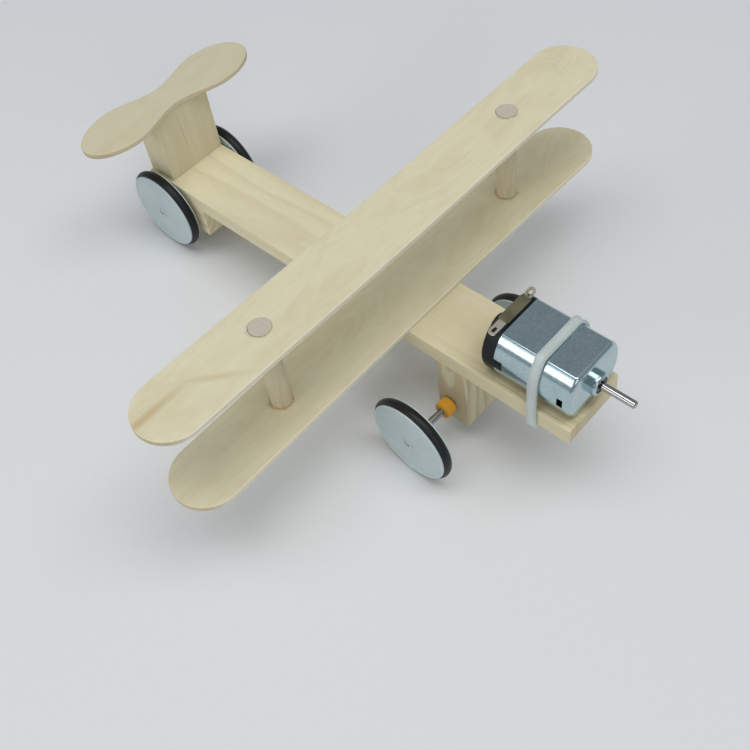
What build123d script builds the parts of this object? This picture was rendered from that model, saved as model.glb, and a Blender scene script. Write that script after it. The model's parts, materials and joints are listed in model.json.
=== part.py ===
from build123d import *
from math import atan2, cos, degrees, radians, sin
import os

# A small wooden biplane that rolls on four wheels, with a 130-size motor tied to its nose.
#
# Sizes are in millimetres. X points forward, Y to the left and Z up, and the four tyres stand
# on Z = 0, under the middle of the whole model. The plank stands nose up on its wheels, so most
# places are given in deck coordinates: along the plank from its nose (forward is positive),
# across it from its centreline (left is positive) and above its top face.

# Plank and blocks, solid softwood
PLANK_LENGTH = 152.0
PLANK_WIDTH = 20.6
PLANK_THICK = 5.2
PLANK_EASE = 0.3            # sanded edges
NOSE_WORN_R = 1.5           # the left corner of the nose is worn round
BLOCK_THICK = 9.8
BLOCK_EASE = 0.25
FIN_WIDTH = 19.5
FIN_HIGH = 22.0
FIN_FACE = -142.0           # along, front face of the upright tail block
FIN_ACROSS = 0.3
FRONT_BLOCK_FACE = -30.9    # along, front face of the block that hangs under the nose
FRONT_BLOCK_HIGH = 21.6
REAR_BLOCK_FACE = -130.0
REAR_BLOCK_LONG = 21.6
REAR_BLOCK_HIGH = 9.6

# Wings, tailplane and dowels, thin ply
WING_SPAN = 156.5
WING_THICK = 1.5
PLY_EASE = 0.2
LOWER_WING = {"along": -58.5, "across": -2.6, "top": WING_THICK, "yaw": -0.2, "chord": 19.0}
UPPER_WING = {"along": -58.5, "across": -3.6, "top": 29.5, "yaw": -0.4, "chord": 18.0}
DOWEL_R = 2.7
DOWEL_ALONG = -59.2
DOWEL_ACROSS = {"left": 42.8, "right": -45.9}
TAIL_ALONG = -146.2
TAIL_ACROSS = -0.6
TAIL_YAW = -0.9
TAIL_HALF_LENGTH = 29.3
TAIL_LOBE_AT = 16.0         # from the middle out to the widest place of each lobe
TAIL_LOBE_HALF = 8.3
TAIL_WAIST_HALF = 4.6

# Wheels and axles
AXLE_R = 1.0
AXLE_HOLE_R = 1.08          # 0.08 of running clearance all round
AXLE_END_CHAMFER = 0.2
FRONT_AXLE = {"along": -35.8, "above": -20.0, "yaw": 2.5, "right_end": -27.6, "left_end": 22.4}
REAR_AXLE = {"along": -145.0, "above": -10.0, "yaw": 0.0, "right_end": -15.2, "left_end": 14.8}
TYRE_R = 13.0
TYRE_SHOULDER_R = 12.3
FLANGE_R = 12.15
GROOVE_R = 10.8
FLANGE_THICK = 0.4
TYRE_WIDTH = 2.7
DISC_DOME = 0.45            # the face's middle stands this far proud of its rim
BEAD_R = 11.4               # inside of the raised bead round the rim
BEAD_HIGH = 0.15
BOSS_R = 1.9                # little boss round the axle's end
WEB_DEPTH = 1.9             # back of the web, from the rim's face
INNER_RING_R = 9.6
HUB_R = 2.8
HUB_DEPTH = 4.0
COLLAR_R = 2.5
COLLAR_FROM = 10.95         # from the centreline along the front axle
COLLAR_LENGTH = 3.3
COLLAR_CHAMFER = 0.3

# Motor, a 130-size can motor lying on its flat
MOTOR_ACROSS = 0.35
CAN_R = 10.05
CAN_FLATS = 15.1
CAN_WALL = 0.8
CAN_CORNER_R = 0.9
CAN_FACE = -1.2             # along, front face
CAN_REAR = -22.7            # along, where the can meets the end bell
CAN_FRONT_EDGE_R = 1.1
FRONT_BOSS_R = 3.05
FRONT_BOSS_LONG = 1.95
FRONT_BOSS_EASE = 0.6
VENT_FROM, VENT_TO = -4.7, -3.1
VENT_HIGH = 2.7
BELL_REAR = -26.7
BELL_EASE = 1.0
BELL_PLUG = -20.6           # along, how far the end bell reaches into the can
BELL_WALL = 1.0
BELL_FLOOR = -25.9          # inside face of the end bell's rear wall
BELL_FIT = 0.03
LUG_HIGH = 3.2              # side lug that locks the end bell into the can
LUG_TO = -20.3
REAR_BOSS_R = 3.0
REAR_BOSS_END = -29.4
SHAFT_R = 1.0
SHAFT_TIP = 9.95
SHAFT_TAIL = -28.9
SHAFT_CHAMFER = 0.25
OIL_GROOVE = (0.15, 0.75)   # along, in the mouth of the front bush
OIL_GROOVE_R = 0.8
OIL_GROOVE_LIP = 0.1
BUSH_R = 2.3
BUSH_BORE_R = 1.03          # 0.03 of running clearance all round
FRONT_BUSH = (-2.5, 0.55)
REAR_BUSH = (-29.1, -25.4)
CORE_FROM, CORE_TO = -15.5, -6.5
CORE_R = 6.3
POLE_INNER_R = 5.3
POLE_GAP = 0.9
CORE_HUB_R = 2.2
STEM_WIDTH = 2.0
POLES = 3
COIL_INNER, COIL_OUTER = 2.5, 4.6
COIL_WIDTH = 4.8
COIL_OVERHANG = 1.4
COIL_ROUND = 1.0
COMMUTATOR_FROM, COMMUTATOR_TO = -23.2, -17.6
COMMUTATOR_R = 2.3
SLEEVE_R = 1.6
SEGMENT_SLIT = 0.35
WASHER_R = 1.9
FRONT_WASHER = (-2.9, -2.55)
REAR_WASHER = (-25.3, -24.95)
MAGNET_FROM, MAGNET_TO = -17.0, -5.2
MAGNET_INNER_R = 6.7
MAGNET_OUTER_R = 9.22
MAGNET_ARC = 88.0
CLIP_WIRE_R = 0.3
CLIP_ACROSS = 5.75
CLIP_BELOW = 6.15
CLIP_FROM, CLIP_TO = -14.0, -4.6
CLIP_BEND_R = 1.0
BRUSH_INNER = 2.36          # from the motor's axis, 0.06 clear of the commutator
BRUSH_THICK = 0.2
BRUSH_FROM, BRUSH_TO = -25.5, -20.4
BRUSH_HALF_HIGH = 1.5
TERMINAL_THICK = 0.3
TERMINAL_AT = -24.8         # along, middle of both terminals
TERMINAL_LEG = 1.4
TERMINAL_WIDTH = 2.2
TERMINAL_REACH = 8.5
TERMINAL_HOLE = (1.7, 0.9)
TERMINAL_HOLE_AT = 6.9
TERMINAL_SLOT_GAP = 0.05
STRIP_WIDTH = 3.0
STRIP_THICK = 0.25
STRIP_SPAN = (-3.55, 5.15)

# Cable tie round the motor and the plank
TIE_ALONG = -11.3
TIE_WIDTH = 2.6
TIE_THICK = 1.05
TIE_HEAD = (4.4, 4.8, 3.2)  # along, across and high
TIE_HEAD_EASE = 0.6
TIE_TAIL_OUT = 1.4

# Where the deck's origin stands over the middle of the whole model
DECK_FORWARD = 73.596
DECK_LEFT = 3.1

wheelbase = FRONT_AXLE["along"] - REAR_AXLE["along"]
pitch = atan2(REAR_AXLE["above"] - FRONT_AXLE["above"], wheelbase)
deck_height = TYRE_R - FRONT_AXLE["along"] * sin(pitch) - FRONT_AXLE["above"] * cos(pitch)
deck = Plane(
    origin=(DECK_FORWARD, DECK_LEFT, deck_height),
    x_dir=(cos(pitch), 0, sin(pitch)),
    z_dir=(-sin(pitch), 0, cos(pitch)),
)
deck_forward = Axis(deck.origin, deck.x_dir)
deck_up = Axis(deck.origin, deck.z_dir)
motor_above = CAN_FLATS / 2


def deck_at(along, across, above, turn=0.0):
    """A plane parallel to the plank's top face: its x is forward and its y left, before a turn."""
    forward = deck.x_dir * cos(radians(turn)) + deck.y_dir * sin(radians(turn))
    return Plane(deck.from_local_coords((along, across, above)), x_dir=forward, z_dir=deck.z_dir)


def facing_forward(along, across, above):
    """A plane square to the plank: its x is left, its y is up and it faces forward."""
    return Plane(deck.from_local_coords((along, across, above)), x_dir=deck.y_dir, z_dir=deck.x_dir)


def motor_at(along):
    """A plane square to the motor's shaft, centred on it."""
    return facing_forward(along, MOTOR_ACROSS, motor_above)


def save(holder, label):
    """Label a finished piece and write its STEP file."""
    holder.part.label = label
    export_step(holder.part, f"parts/{label}.step")


os.makedirs("parts", exist_ok=True)


# ---- Plank and blocks ----


def axle_line(axle):
    """The axle's axis: it lies level and passes over the plank's centreline."""
    yaw = radians(axle["yaw"])
    centre = deck.from_local_coords((axle["along"], 0, axle["above"]))
    return Axis(centre, (sin(yaw), cos(yaw), 0))


def across_axle(axle, station):
    """A plane square to an axle, at a distance to the left of the centreline."""
    line = axle_line(axle)
    return Plane(line.position + line.direction * station, x_dir=(0, 0, 1), z_dir=line.direction)


def along_axle(axle):
    """The plane of a turned profile: its x is the radius and its y the station to the left."""
    line = axle_line(axle)
    up = Vector(0, 0, 1)
    return Plane(line.position, x_dir=up, z_dir=up.cross(line.direction))


def drill_axle_hole(axle):
    """Drill a block right through for its axle."""
    with BuildSketch(across_axle(axle, 0)) as hole:
        Circle(AXLE_HOLE_R)
    extrude(hole.sketch, amount=PLANK_WIDTH, both=True, mode=Mode.SUBTRACT)


with BuildPart() as fuselage_plank:
    with BuildSketch(deck_at(-PLANK_LENGTH / 2, 0, -PLANK_THICK)) as plank_outline:
        Rectangle(PLANK_LENGTH, PLANK_WIDTH)
        fillet(plank_outline.vertices().group_by(Axis.X)[-1].sort_by(Axis.Y)[-1], NOSE_WORN_R)
    extrude(amount=PLANK_THICK)
    fillet(fuselage_plank.edges(), PLANK_EASE)
save(fuselage_plank, "fuselage_plank")

with BuildPart() as tail_fin_block:
    with BuildSketch(deck_at(FIN_FACE - BLOCK_THICK / 2, FIN_ACROSS, 0)):
        Rectangle(BLOCK_THICK, FIN_WIDTH)
    extrude(amount=FIN_HIGH)
    fillet(tail_fin_block.edges(), BLOCK_EASE)
save(tail_fin_block, "tail_fin_block")

with BuildPart() as front_axle_block:
    with BuildSketch(deck_at(FRONT_BLOCK_FACE - BLOCK_THICK / 2, 0, -PLANK_THICK)):
        Rectangle(BLOCK_THICK, PLANK_WIDTH)
    extrude(amount=-FRONT_BLOCK_HIGH)
    fillet(front_axle_block.edges(), BLOCK_EASE)
    drill_axle_hole(FRONT_AXLE)
save(front_axle_block, "front_axle_block")

with BuildPart() as rear_axle_block:
    with BuildSketch(deck_at(REAR_BLOCK_FACE - REAR_BLOCK_LONG / 2, 0, -PLANK_THICK)):
        Rectangle(REAR_BLOCK_LONG, PLANK_WIDTH)
    extrude(amount=-REAR_BLOCK_HIGH)
    fillet(rear_axle_block.edges(), BLOCK_EASE)
    drill_axle_hole(REAR_AXLE)
save(rear_axle_block, "rear_axle_block")


# ---- Wings, dowels and tailplane ----


def ease_outline(sheet):
    """Ease the top and bottom edges of a ply piece."""
    faces = sheet.faces().sort_by(deck_up)
    fillet(faces[0].edges() + faces[-1].edges(), PLY_EASE)


def make_wing(wing, label):
    """A round-ended ply wing with a hole for each dowel."""
    under = wing["top"] - WING_THICK
    with BuildPart() as ply:
        with BuildSketch(deck_at(wing["along"], wing["across"], under, wing["yaw"])):
            SlotOverall(WING_SPAN, wing["chord"], rotation=90)
        extrude(amount=WING_THICK)
        ease_outline(ply)
        for across in DOWEL_ACROSS.values():
            with BuildSketch(deck_at(DOWEL_ALONG, across, under)):
                Circle(DOWEL_R)
        extrude(amount=WING_THICK, mode=Mode.SUBTRACT)
    save(ply, label)


make_wing(LOWER_WING, "lower_wing")
make_wing(UPPER_WING, "upper_wing")

for side, across in DOWEL_ACROSS.items():
    with BuildPart() as wing_strut:
        with BuildSketch(deck_at(DOWEL_ALONG, across, 0)):
            Circle(DOWEL_R)
        extrude(amount=UPPER_WING["top"])
    save(wing_strut, f"wing_strut_{side}")

with BuildPart() as tailplane:
    with BuildSketch(deck_at(TAIL_ALONG, TAIL_ACROSS, FIN_HIGH, 90 + TAIL_YAW)):
        with BuildLine():
            tip_length = TAIL_HALF_LENGTH - TAIL_LOBE_AT
            tip = EllipticalCenterArc((TAIL_LOBE_AT, 0), tip_length, TAIL_LOBE_HALF, arc_size=90)
            Spline(tip @ 1, (0, TAIL_WAIST_HALF), tangents=[(-1, 0), (-1, 0)])
            mirror(about=Plane.YZ)
            mirror(about=Plane.XZ)
        make_face()
    extrude(amount=WING_THICK)
    ease_outline(tailplane)
save(tailplane, "tailplane")


# ---- Wheels and axles ----


def make_axle(axle, label):
    """A plain steel axle with chamfered ends."""
    with BuildPart() as rod:
        with BuildSketch(across_axle(axle, axle["right_end"])):
            Circle(AXLE_R)
        extrude(amount=axle["left_end"] - axle["right_end"])
        chamfer(rod.edges().filter_by(GeomType.CIRCLE), AXLE_END_CHAMFER)
    save(rod, label)


def make_wheel(axle, side, where):
    """A moulded wheel with its rubber tyre, the domed face outwards."""
    outwards = 1 if side == "left" else -1
    rim = outwards * axle[f"{side}_end"] - DISC_DOME

    def at(radius, depth):
        """A profile point at a depth behind the rim's outer face."""
        return (radius, outwards * (rim - depth))

    groove_back = FLANGE_THICK + TYRE_WIDTH
    wheel_back = groove_back + FLANGE_THICK
    with BuildPart() as wheel_disc:
        with BuildSketch(along_axle(axle)):
            with BuildLine():
                Polyline(at(AXLE_R, -DISC_DOME), at(BOSS_R, -DISC_DOME), at(BOSS_R, -DISC_DOME / 2))
                ThreePointArc(
                    at(BOSS_R, -DISC_DOME / 2),
                    at((BOSS_R + BEAD_R) / 2, -DISC_DOME / 4),
                    at(BEAD_R, BEAD_HIGH),
                )
                Polyline(
                    at(BEAD_R, BEAD_HIGH),
                    at(BEAD_R + BEAD_HIGH, 0),
                    at(FLANGE_R - BEAD_HIGH, 0),
                    at(FLANGE_R, BEAD_HIGH),
                    at(FLANGE_R, FLANGE_THICK),
                    at(GROOVE_R, FLANGE_THICK),
                    at(GROOVE_R, groove_back),
                    at(FLANGE_R, groove_back),
                    at(FLANGE_R, wheel_back),
                    at(INNER_RING_R, wheel_back),
                    at(INNER_RING_R, WEB_DEPTH),
                    at(HUB_R, WEB_DEPTH),
                    at(HUB_R, HUB_DEPTH),
                    at(AXLE_R, HUB_DEPTH),
                    at(AXLE_R, -DISC_DOME),
                )
            make_face()
        revolve(axis=axle_line(axle))
    save(wheel_disc, f"wheel_disc_{where}_{side}")

    with BuildPart() as tyre:
        with BuildSketch(along_axle(axle)):
            with BuildLine():
                Polyline(
                    at(TYRE_SHOULDER_R, FLANGE_THICK),
                    at(GROOVE_R, FLANGE_THICK),
                    at(GROOVE_R, groove_back),
                    at(TYRE_SHOULDER_R, groove_back),
                )
                ThreePointArc(
                    at(TYRE_SHOULDER_R, groove_back),
                    at(TYRE_R, (FLANGE_THICK + groove_back) / 2),
                    at(TYRE_SHOULDER_R, FLANGE_THICK),
                )
            make_face()
        revolve(axis=axle_line(axle))
    save(tyre, f"tyre_{where}_{side}")


for where, axle in (("front", FRONT_AXLE), ("rear", REAR_AXLE)):
    make_axle(axle, f"{where}_axle")
    for side in ("left", "right"):
        make_wheel(axle, side, where)

for side, outwards in (("left", 1), ("right", -1)):
    with BuildPart() as axle_collar:
        with BuildSketch(across_axle(FRONT_AXLE, outwards * COLLAR_FROM)):
            Circle(COLLAR_R)
        extrude(amount=outwards * COLLAR_LENGTH)
        chamfer(axle_collar.edges().filter_by(GeomType.CIRCLE), COLLAR_CHAMFER)
        with BuildSketch(across_axle(FRONT_AXLE, outwards * COLLAR_FROM)):
            Circle(AXLE_R)
        extrude(amount=outwards * COLLAR_LENGTH, mode=Mode.SUBTRACT)
    save(axle_collar, f"axle_collar_{side}")


# ---- Motor: case ----


def can_section(shrink=0.0):
    """Add the can's cross-section, round with two flats, drawn in by a wall's thickness."""
    with BuildSketch(mode=Mode.PRIVATE) as outline:
        Circle(CAN_R - shrink)
        Rectangle(2 * CAN_R, CAN_FLATS - 2 * shrink, mode=Mode.INTERSECT)
        fillet(outline.vertices(), CAN_CORNER_R - min(shrink, CAN_CORNER_R / 2))
    add(outline.sketch)


def cut_round(along_from, along_to, radius):
    """Bore a round hole along the motor's axis."""
    with BuildSketch(motor_at(along_from)) as hole:
        Circle(radius)
    extrude(hole.sketch, amount=along_to - along_from, mode=Mode.SUBTRACT)


def tube(label, span, outer, inner):
    """A plain turned tube on the motor's axis."""
    with BuildPart() as ring:
        with BuildSketch(motor_at(span[0])):
            Circle(outer)
            Circle(inner, mode=Mode.SUBTRACT)
        extrude(amount=span[1] - span[0])
    save(ring, label)


with BuildPart() as motor_can:
    with BuildSketch(motor_at(CAN_REAR)):
        can_section()
    extrude(amount=CAN_FACE - CAN_REAR)
    front_rim = motor_can.faces().sort_by(deck_forward)[-1]
    fillet(front_rim.edges(), CAN_FRONT_EDGE_R)
    with BuildSketch(motor_at(CAN_FACE)):
        Circle(FRONT_BOSS_R)
    extrude(amount=FRONT_BOSS_LONG)
    boss_face = motor_can.faces().sort_by(deck_forward)[-1]
    fillet(boss_face.edges(), FRONT_BOSS_EASE)
    with BuildSketch(motor_at(CAN_REAR)):
        can_section(CAN_WALL)
    extrude(amount=CAN_FACE - CAN_WALL - CAN_REAR, mode=Mode.SUBTRACT)
    cut_round(CAN_FACE - CAN_WALL, CAN_FACE + FRONT_BOSS_LONG, BUSH_R)
    with BuildSketch(motor_at(VENT_FROM)):
        Rectangle(3 * CAN_R, VENT_HIGH)
    extrude(amount=VENT_TO - VENT_FROM, mode=Mode.SUBTRACT)
    with BuildSketch(motor_at(CAN_REAR)):
        Rectangle(3 * CAN_R, LUG_HIGH)
    extrude(amount=LUG_TO - CAN_REAR, mode=Mode.SUBTRACT)
save(motor_can, "motor_can")

with BuildPart() as motor_end_bell:
    with BuildSketch(motor_at(BELL_REAR)):
        can_section()
    extrude(amount=CAN_REAR - BELL_REAR)
    rear_rim = motor_end_bell.faces().sort_by(deck_forward)[0]
    fillet(rear_rim.edges(), BELL_EASE)
    with BuildSketch(motor_at(CAN_REAR)):
        can_section(CAN_WALL + BELL_FIT)
    extrude(amount=BELL_PLUG - CAN_REAR)
    with BuildSketch(motor_at(CAN_REAR)):
        Circle(CAN_R)
        Rectangle(2 * CAN_R, LUG_HIGH - 2 * BELL_FIT, mode=Mode.INTERSECT)
    extrude(amount=LUG_TO - BELL_FIT - CAN_REAR)
    with BuildSketch(motor_at(REAR_BOSS_END)):
        Circle(REAR_BOSS_R)
    extrude(amount=BELL_REAR - REAR_BOSS_END)
    with BuildSketch(motor_at(BELL_FLOOR)):
        can_section(CAN_WALL + BELL_WALL)
    extrude(amount=LUG_TO - BELL_FLOOR, mode=Mode.SUBTRACT)
    cut_round(REAR_BUSH[0], BELL_FLOOR, BUSH_R)
    cut_round(REAR_BOSS_END, REAR_BUSH[0], SHAFT_R + BELL_WALL / 2)
    slot_middle = BRUSH_INNER + BRUSH_THICK + TERMINAL_THICK / 2
    with BuildSketch(deck_at(TERMINAL_AT, MOTOR_ACROSS, CAN_FLATS)):
        with Locations((0, slot_middle), (0, -slot_middle)):
            Rectangle(TERMINAL_LEG + 2 * TERMINAL_SLOT_GAP, TERMINAL_THICK + 2 * TERMINAL_SLOT_GAP)
    extrude(amount=-CAN_WALL - 2 * BELL_WALL, mode=Mode.SUBTRACT)
save(motor_end_bell, "motor_end_bell")

tube("front_bush", FRONT_BUSH, BUSH_R, BUSH_BORE_R)
tube("rear_bush", REAR_BUSH, BUSH_R, BUSH_BORE_R)

for side, turn in (("left", 0), ("right", 180)):
    with BuildPart() as magnet:
        with BuildSketch(motor_at(MAGNET_FROM)):
            with BuildLine():
                inner = CenterArc((0, 0), MAGNET_INNER_R, turn - MAGNET_ARC / 2, MAGNET_ARC)
                outer = CenterArc((0, 0), MAGNET_OUTER_R, turn - MAGNET_ARC / 2, MAGNET_ARC)
                Line(inner @ 0, outer @ 0)
                Line(inner @ 1, outer @ 1)
            make_face()
        extrude(amount=MAGNET_TO - MAGNET_FROM)
    save(magnet, f"magnet_{side}")

with BuildPart() as magnet_clip:
    with BuildLine(deck_at(0, MOTOR_ACROSS, motor_above - CLIP_BELOW)) as clip_path:
        FilletPolyline(
            (CLIP_FROM, CLIP_ACROSS),
            (CLIP_TO, CLIP_ACROSS),
            (CLIP_TO, -CLIP_ACROSS),
            (CLIP_FROM, -CLIP_ACROSS),
            radius=CLIP_BEND_R,
        )
    with BuildSketch(Plane(clip_path.line @ 0, z_dir=clip_path.line % 0)):
        Circle(CLIP_WIRE_R)
    sweep()
save(magnet_clip, "magnet_clip")


# ---- Motor: terminals and brushes ----

for side, turn in (("left", 1), ("right", -1)):
    brush_near = turn * BRUSH_INNER
    brush_far = turn * (BRUSH_INNER + BRUSH_THICK)
    with BuildPart() as brush:
        with BuildSketch(motor_at(BRUSH_FROM)):
            with Locations(((brush_near + brush_far) / 2, 0)):
                Rectangle(BRUSH_THICK, 2 * BRUSH_HALF_HIGH)
        extrude(amount=BRUSH_TO - BRUSH_FROM)
    save(brush, f"brush_{side}")

    reach = TERMINAL_REACH - BRUSH_INNER - BRUSH_THICK
    with BuildPart() as terminal:
        with BuildSketch(deck_at(TERMINAL_AT, MOTOR_ACROSS + brush_far + turn * reach / 2, CAN_FLATS)):
            with Locations((0, -turn * TERMINAL_WIDTH / 4)):
                Rectangle(TERMINAL_WIDTH, reach - TERMINAL_WIDTH / 2)
            with Locations((0, turn * (reach - TERMINAL_WIDTH) / 2)):
                Circle(TERMINAL_WIDTH / 2)
        extrude(amount=TERMINAL_THICK)
        with BuildSketch(deck_at(TERMINAL_AT, MOTOR_ACROSS + turn * TERMINAL_HOLE_AT, CAN_FLATS)):
            SlotOverall(*TERMINAL_HOLE, rotation=90)
        extrude(amount=TERMINAL_THICK, mode=Mode.SUBTRACT)
        with BuildSketch(deck_at(TERMINAL_AT, MOTOR_ACROSS + brush_far, CAN_FLATS)):
            with Locations((0, turn * TERMINAL_THICK / 2)):
                Rectangle(TERMINAL_LEG, TERMINAL_THICK)
        extrude(amount=motor_above - CAN_FLATS - BRUSH_HALF_HIGH)
    save(terminal, f"terminal_{side}")

with BuildPart() as insulating_strip:
    strip_length = STRIP_SPAN[1] - STRIP_SPAN[0]
    strip_middle = MOTOR_ACROSS + sum(STRIP_SPAN) / 2
    with BuildSketch(deck_at(TERMINAL_AT, strip_middle, CAN_FLATS + TERMINAL_THICK)):
        Rectangle(STRIP_WIDTH, strip_length)
    extrude(amount=STRIP_THICK)
save(insulating_strip, "insulating_strip")


# ---- Motor: turning parts ----

with BuildPart() as motor_shaft:
    with BuildSketch(motor_at(SHAFT_TAIL)):
        Circle(SHAFT_R)
    extrude(amount=SHAFT_TIP - SHAFT_TAIL)
    chamfer(motor_shaft.edges().filter_by(GeomType.CIRCLE), SHAFT_CHAMFER)
    with BuildSketch(motor_at(OIL_GROOVE[0])):
        Circle(SHAFT_R)
        Circle(OIL_GROOVE_R, mode=Mode.SUBTRACT)
    extrude(amount=OIL_GROOVE[1] - OIL_GROOVE[0], mode=Mode.SUBTRACT)
    groove_circles = motor_shaft.edges(Select.LAST).filter_by(GeomType.CIRCLE)
    chamfer(groove_circles.group_by(SortBy.RADIUS)[-1], OIL_GROOVE_LIP)
save(motor_shaft, "motor_shaft")

pole_turn = 360 / POLES
with BuildPart() as armature_core:
    with BuildSketch(motor_at(CORE_FROM)):
        Circle(CORE_R)
        Circle(POLE_INNER_R, mode=Mode.SUBTRACT)
        with PolarLocations((CORE_R + POLE_INNER_R) / 2, POLES, start_angle=90 + pole_turn / 2):
            Rectangle(2 * (CORE_R - POLE_INNER_R), POLE_GAP, mode=Mode.SUBTRACT)
        Circle(CORE_HUB_R)
        with PolarLocations(POLE_INNER_R / 2, POLES, start_angle=90):
            Rectangle(POLE_INNER_R + POLE_GAP / 2, STEM_WIDTH)
        Circle(SHAFT_R, mode=Mode.SUBTRACT)
    extrude(amount=CORE_TO - CORE_FROM)
save(armature_core, "armature_core")

core_middle = (CORE_FROM + CORE_TO) / 2
core_length = CORE_TO - CORE_FROM
with BuildPart() as armature_windings:
    for pole in range(POLES):
        angle = radians(90 + pole * pole_turn)
        outwards = deck.y_dir * cos(angle) + deck.z_dir * sin(angle)
        centre = motor_at(core_middle).origin + outwards * COIL_INNER
        with BuildSketch(Plane(centre, x_dir=deck.x_dir, z_dir=outwards)):
            RectangleRounded(core_length + 2 * COIL_OVERHANG, COIL_WIDTH, COIL_ROUND)
            Rectangle(core_length, STEM_WIDTH, mode=Mode.SUBTRACT)
    extrude(amount=COIL_OUTER - COIL_INNER)
save(armature_windings, "armature_windings")

tube("commutator_sleeve", (COMMUTATOR_FROM, COMMUTATOR_TO), SLEEVE_R, SHAFT_R)

with BuildPart() as commutator_segments:
    with BuildSketch(motor_at(COMMUTATOR_FROM)):
        Circle(COMMUTATOR_R)
        Circle(SLEEVE_R, mode=Mode.SUBTRACT)
        with PolarLocations((COMMUTATOR_R + SLEEVE_R) / 2, POLES, start_angle=90):
            Rectangle(2 * (COMMUTATOR_R - SLEEVE_R), SEGMENT_SLIT, mode=Mode.SUBTRACT)
    extrude(amount=COMMUTATOR_TO - COMMUTATOR_FROM)
save(commutator_segments, "commutator_segments")

with BuildPart() as thrust_washers:
    for span in (FRONT_WASHER, REAR_WASHER):
        with BuildSketch(motor_at(span[0])):
            Circle(WASHER_R)
            Circle(SHAFT_R, mode=Mode.SUBTRACT)
        extrude(amount=span[1] - span[0])
save(thrust_washers, "thrust_washers")


# ---- Cable tie ----

with BuildSketch() as wrapped:
    with BuildLine() as can_line:
        flat_half = (CAN_R**2 - motor_above**2) ** 0.5
        side_angle = degrees(atan2(motor_above, flat_half))
        for start in (-side_angle, 180 - side_angle):
            CenterArc((0, 0), CAN_R, start, 2 * side_angle)
        plank_left = PLANK_WIDTH / 2 - MOTOR_ACROSS
        plank_right = -PLANK_WIDTH / 2 - MOTOR_ACROSS
        plank_under = -motor_above - PLANK_THICK
        Polyline(
            (plank_left, -motor_above),
            (plank_left, plank_under),
            (plank_right, plank_under),
            (plank_right, -motor_above),
        )
    make_hull()

with BuildPart() as cable_tie:
    with BuildSketch(motor_at(TIE_ALONG - TIE_WIDTH / 2)):
        offset(wrapped.sketch, amount=TIE_THICK)
        add(wrapped.sketch, mode=Mode.SUBTRACT)
    extrude(amount=TIE_WIDTH)
    head_top = -PLANK_THICK - TIE_THICK / 2
    with BuildSketch(deck_at(TIE_ALONG, 0, head_top)):
        RectangleRounded(TIE_HEAD[0], TIE_HEAD[1], TIE_HEAD_EASE)
    extrude(amount=-TIE_HEAD[2])
    with BuildSketch(deck_at(TIE_ALONG, 0, head_top - TIE_HEAD[2])):
        Rectangle(TIE_WIDTH, TIE_THICK)
    extrude(amount=-TIE_TAIL_OUT)
save(cable_tie, "cable_tie")
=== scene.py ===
"""Looks for a small wooden biplane that rolls on four wheels, with a motor tied to its nose.

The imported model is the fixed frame. Each sub-assembly below is a class that shapes the pieces which
need more than their plain solids and dresses every piece with a finish of its own.
"""

from __future__ import annotations

import json
import logging
import math
import random
from dataclasses import dataclass, field
from enum import Enum
from typing import Any, Iterable, Sequence

import bmesh
import bpy
from mathutils import Euler, Matrix, Vector


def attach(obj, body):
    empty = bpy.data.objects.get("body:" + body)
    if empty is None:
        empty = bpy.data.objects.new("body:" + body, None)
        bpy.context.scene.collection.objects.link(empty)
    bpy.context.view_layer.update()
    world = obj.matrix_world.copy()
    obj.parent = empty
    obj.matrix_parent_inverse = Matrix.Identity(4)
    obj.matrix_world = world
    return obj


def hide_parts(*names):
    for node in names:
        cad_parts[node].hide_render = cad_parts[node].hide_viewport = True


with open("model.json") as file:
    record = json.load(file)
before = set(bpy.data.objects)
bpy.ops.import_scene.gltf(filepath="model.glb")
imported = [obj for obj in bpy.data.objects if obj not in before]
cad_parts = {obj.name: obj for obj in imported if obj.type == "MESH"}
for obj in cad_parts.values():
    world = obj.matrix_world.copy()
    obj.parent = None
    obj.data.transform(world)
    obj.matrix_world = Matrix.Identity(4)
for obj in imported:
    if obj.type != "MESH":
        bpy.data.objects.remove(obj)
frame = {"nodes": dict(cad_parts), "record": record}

LOG = logging.getLogger("biplane")
MM = 0.001
Colour = tuple[float, float, float]
Section = list[tuple[float, float]]
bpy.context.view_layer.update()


# ---- Deck axes ----


@dataclass(frozen=True)
class Deck:
    """The plank's own axes: along it (forward), across it (left) and above its top face.

    The origin is at the nose, on the centreline, on the top face. Sizes are in millimetres.
    """

    origin: Vector
    forward: Vector
    left: Vector
    up: Vector

    @classmethod
    def from_record(cls, record: dict[str, Any], across: float, above: float) -> Deck:
        """Work the axes out from the motor's joint and the upper wing's mount.

        Args:
            record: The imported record.
            across: How far left of the centreline the motor's axis lies.
            above: How far above the top face it lies.

        Returns:
            The deck's axes in the row frame.
        """
        spin = next(j for j in record["behaviour"]["joints"] if j["name"] == "motor_shaft_spin")
        wing = next(m for m in record["mounts"] if m["name"] == "upper_wing_top")
        forward = Vector(spin["axis"]).normalized()
        up = Vector(wing["axis"]).normalized()
        left = up.cross(forward).normalized()
        origin = Vector(spin["pos_m"]) - left * across * MM - up * above * MM
        return cls(origin, forward, left, up)

    def at(self, along: float, across: float, above: float) -> Vector:
        """Give a deck place in the row frame, in metres."""
        return self.origin + (self.forward * along + self.left * across + self.up * above) * MM

    def matrix(self, along: float, across: float, above: float, yaw: float = 0.0) -> Matrix:
        """Give the placing of a piece that is drawn in millimetres with its x forward.

        Args:
            along: Place of the piece's origin along the deck.
            across: Place of it to the left.
            above: Place of it above the top face.
            yaw: Turn to the left, in degrees.

        Returns:
            A matrix from the piece's millimetres to the row frame's metres.
        """
        turn = Matrix((self.forward, self.left, self.up)).transposed().to_4x4()
        place = Matrix.Translation(self.at(along, across, above)) @ turn
        return place @ Matrix.Rotation(math.radians(yaw), 4, "Z") @ Matrix.Scale(MM, 4)


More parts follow.
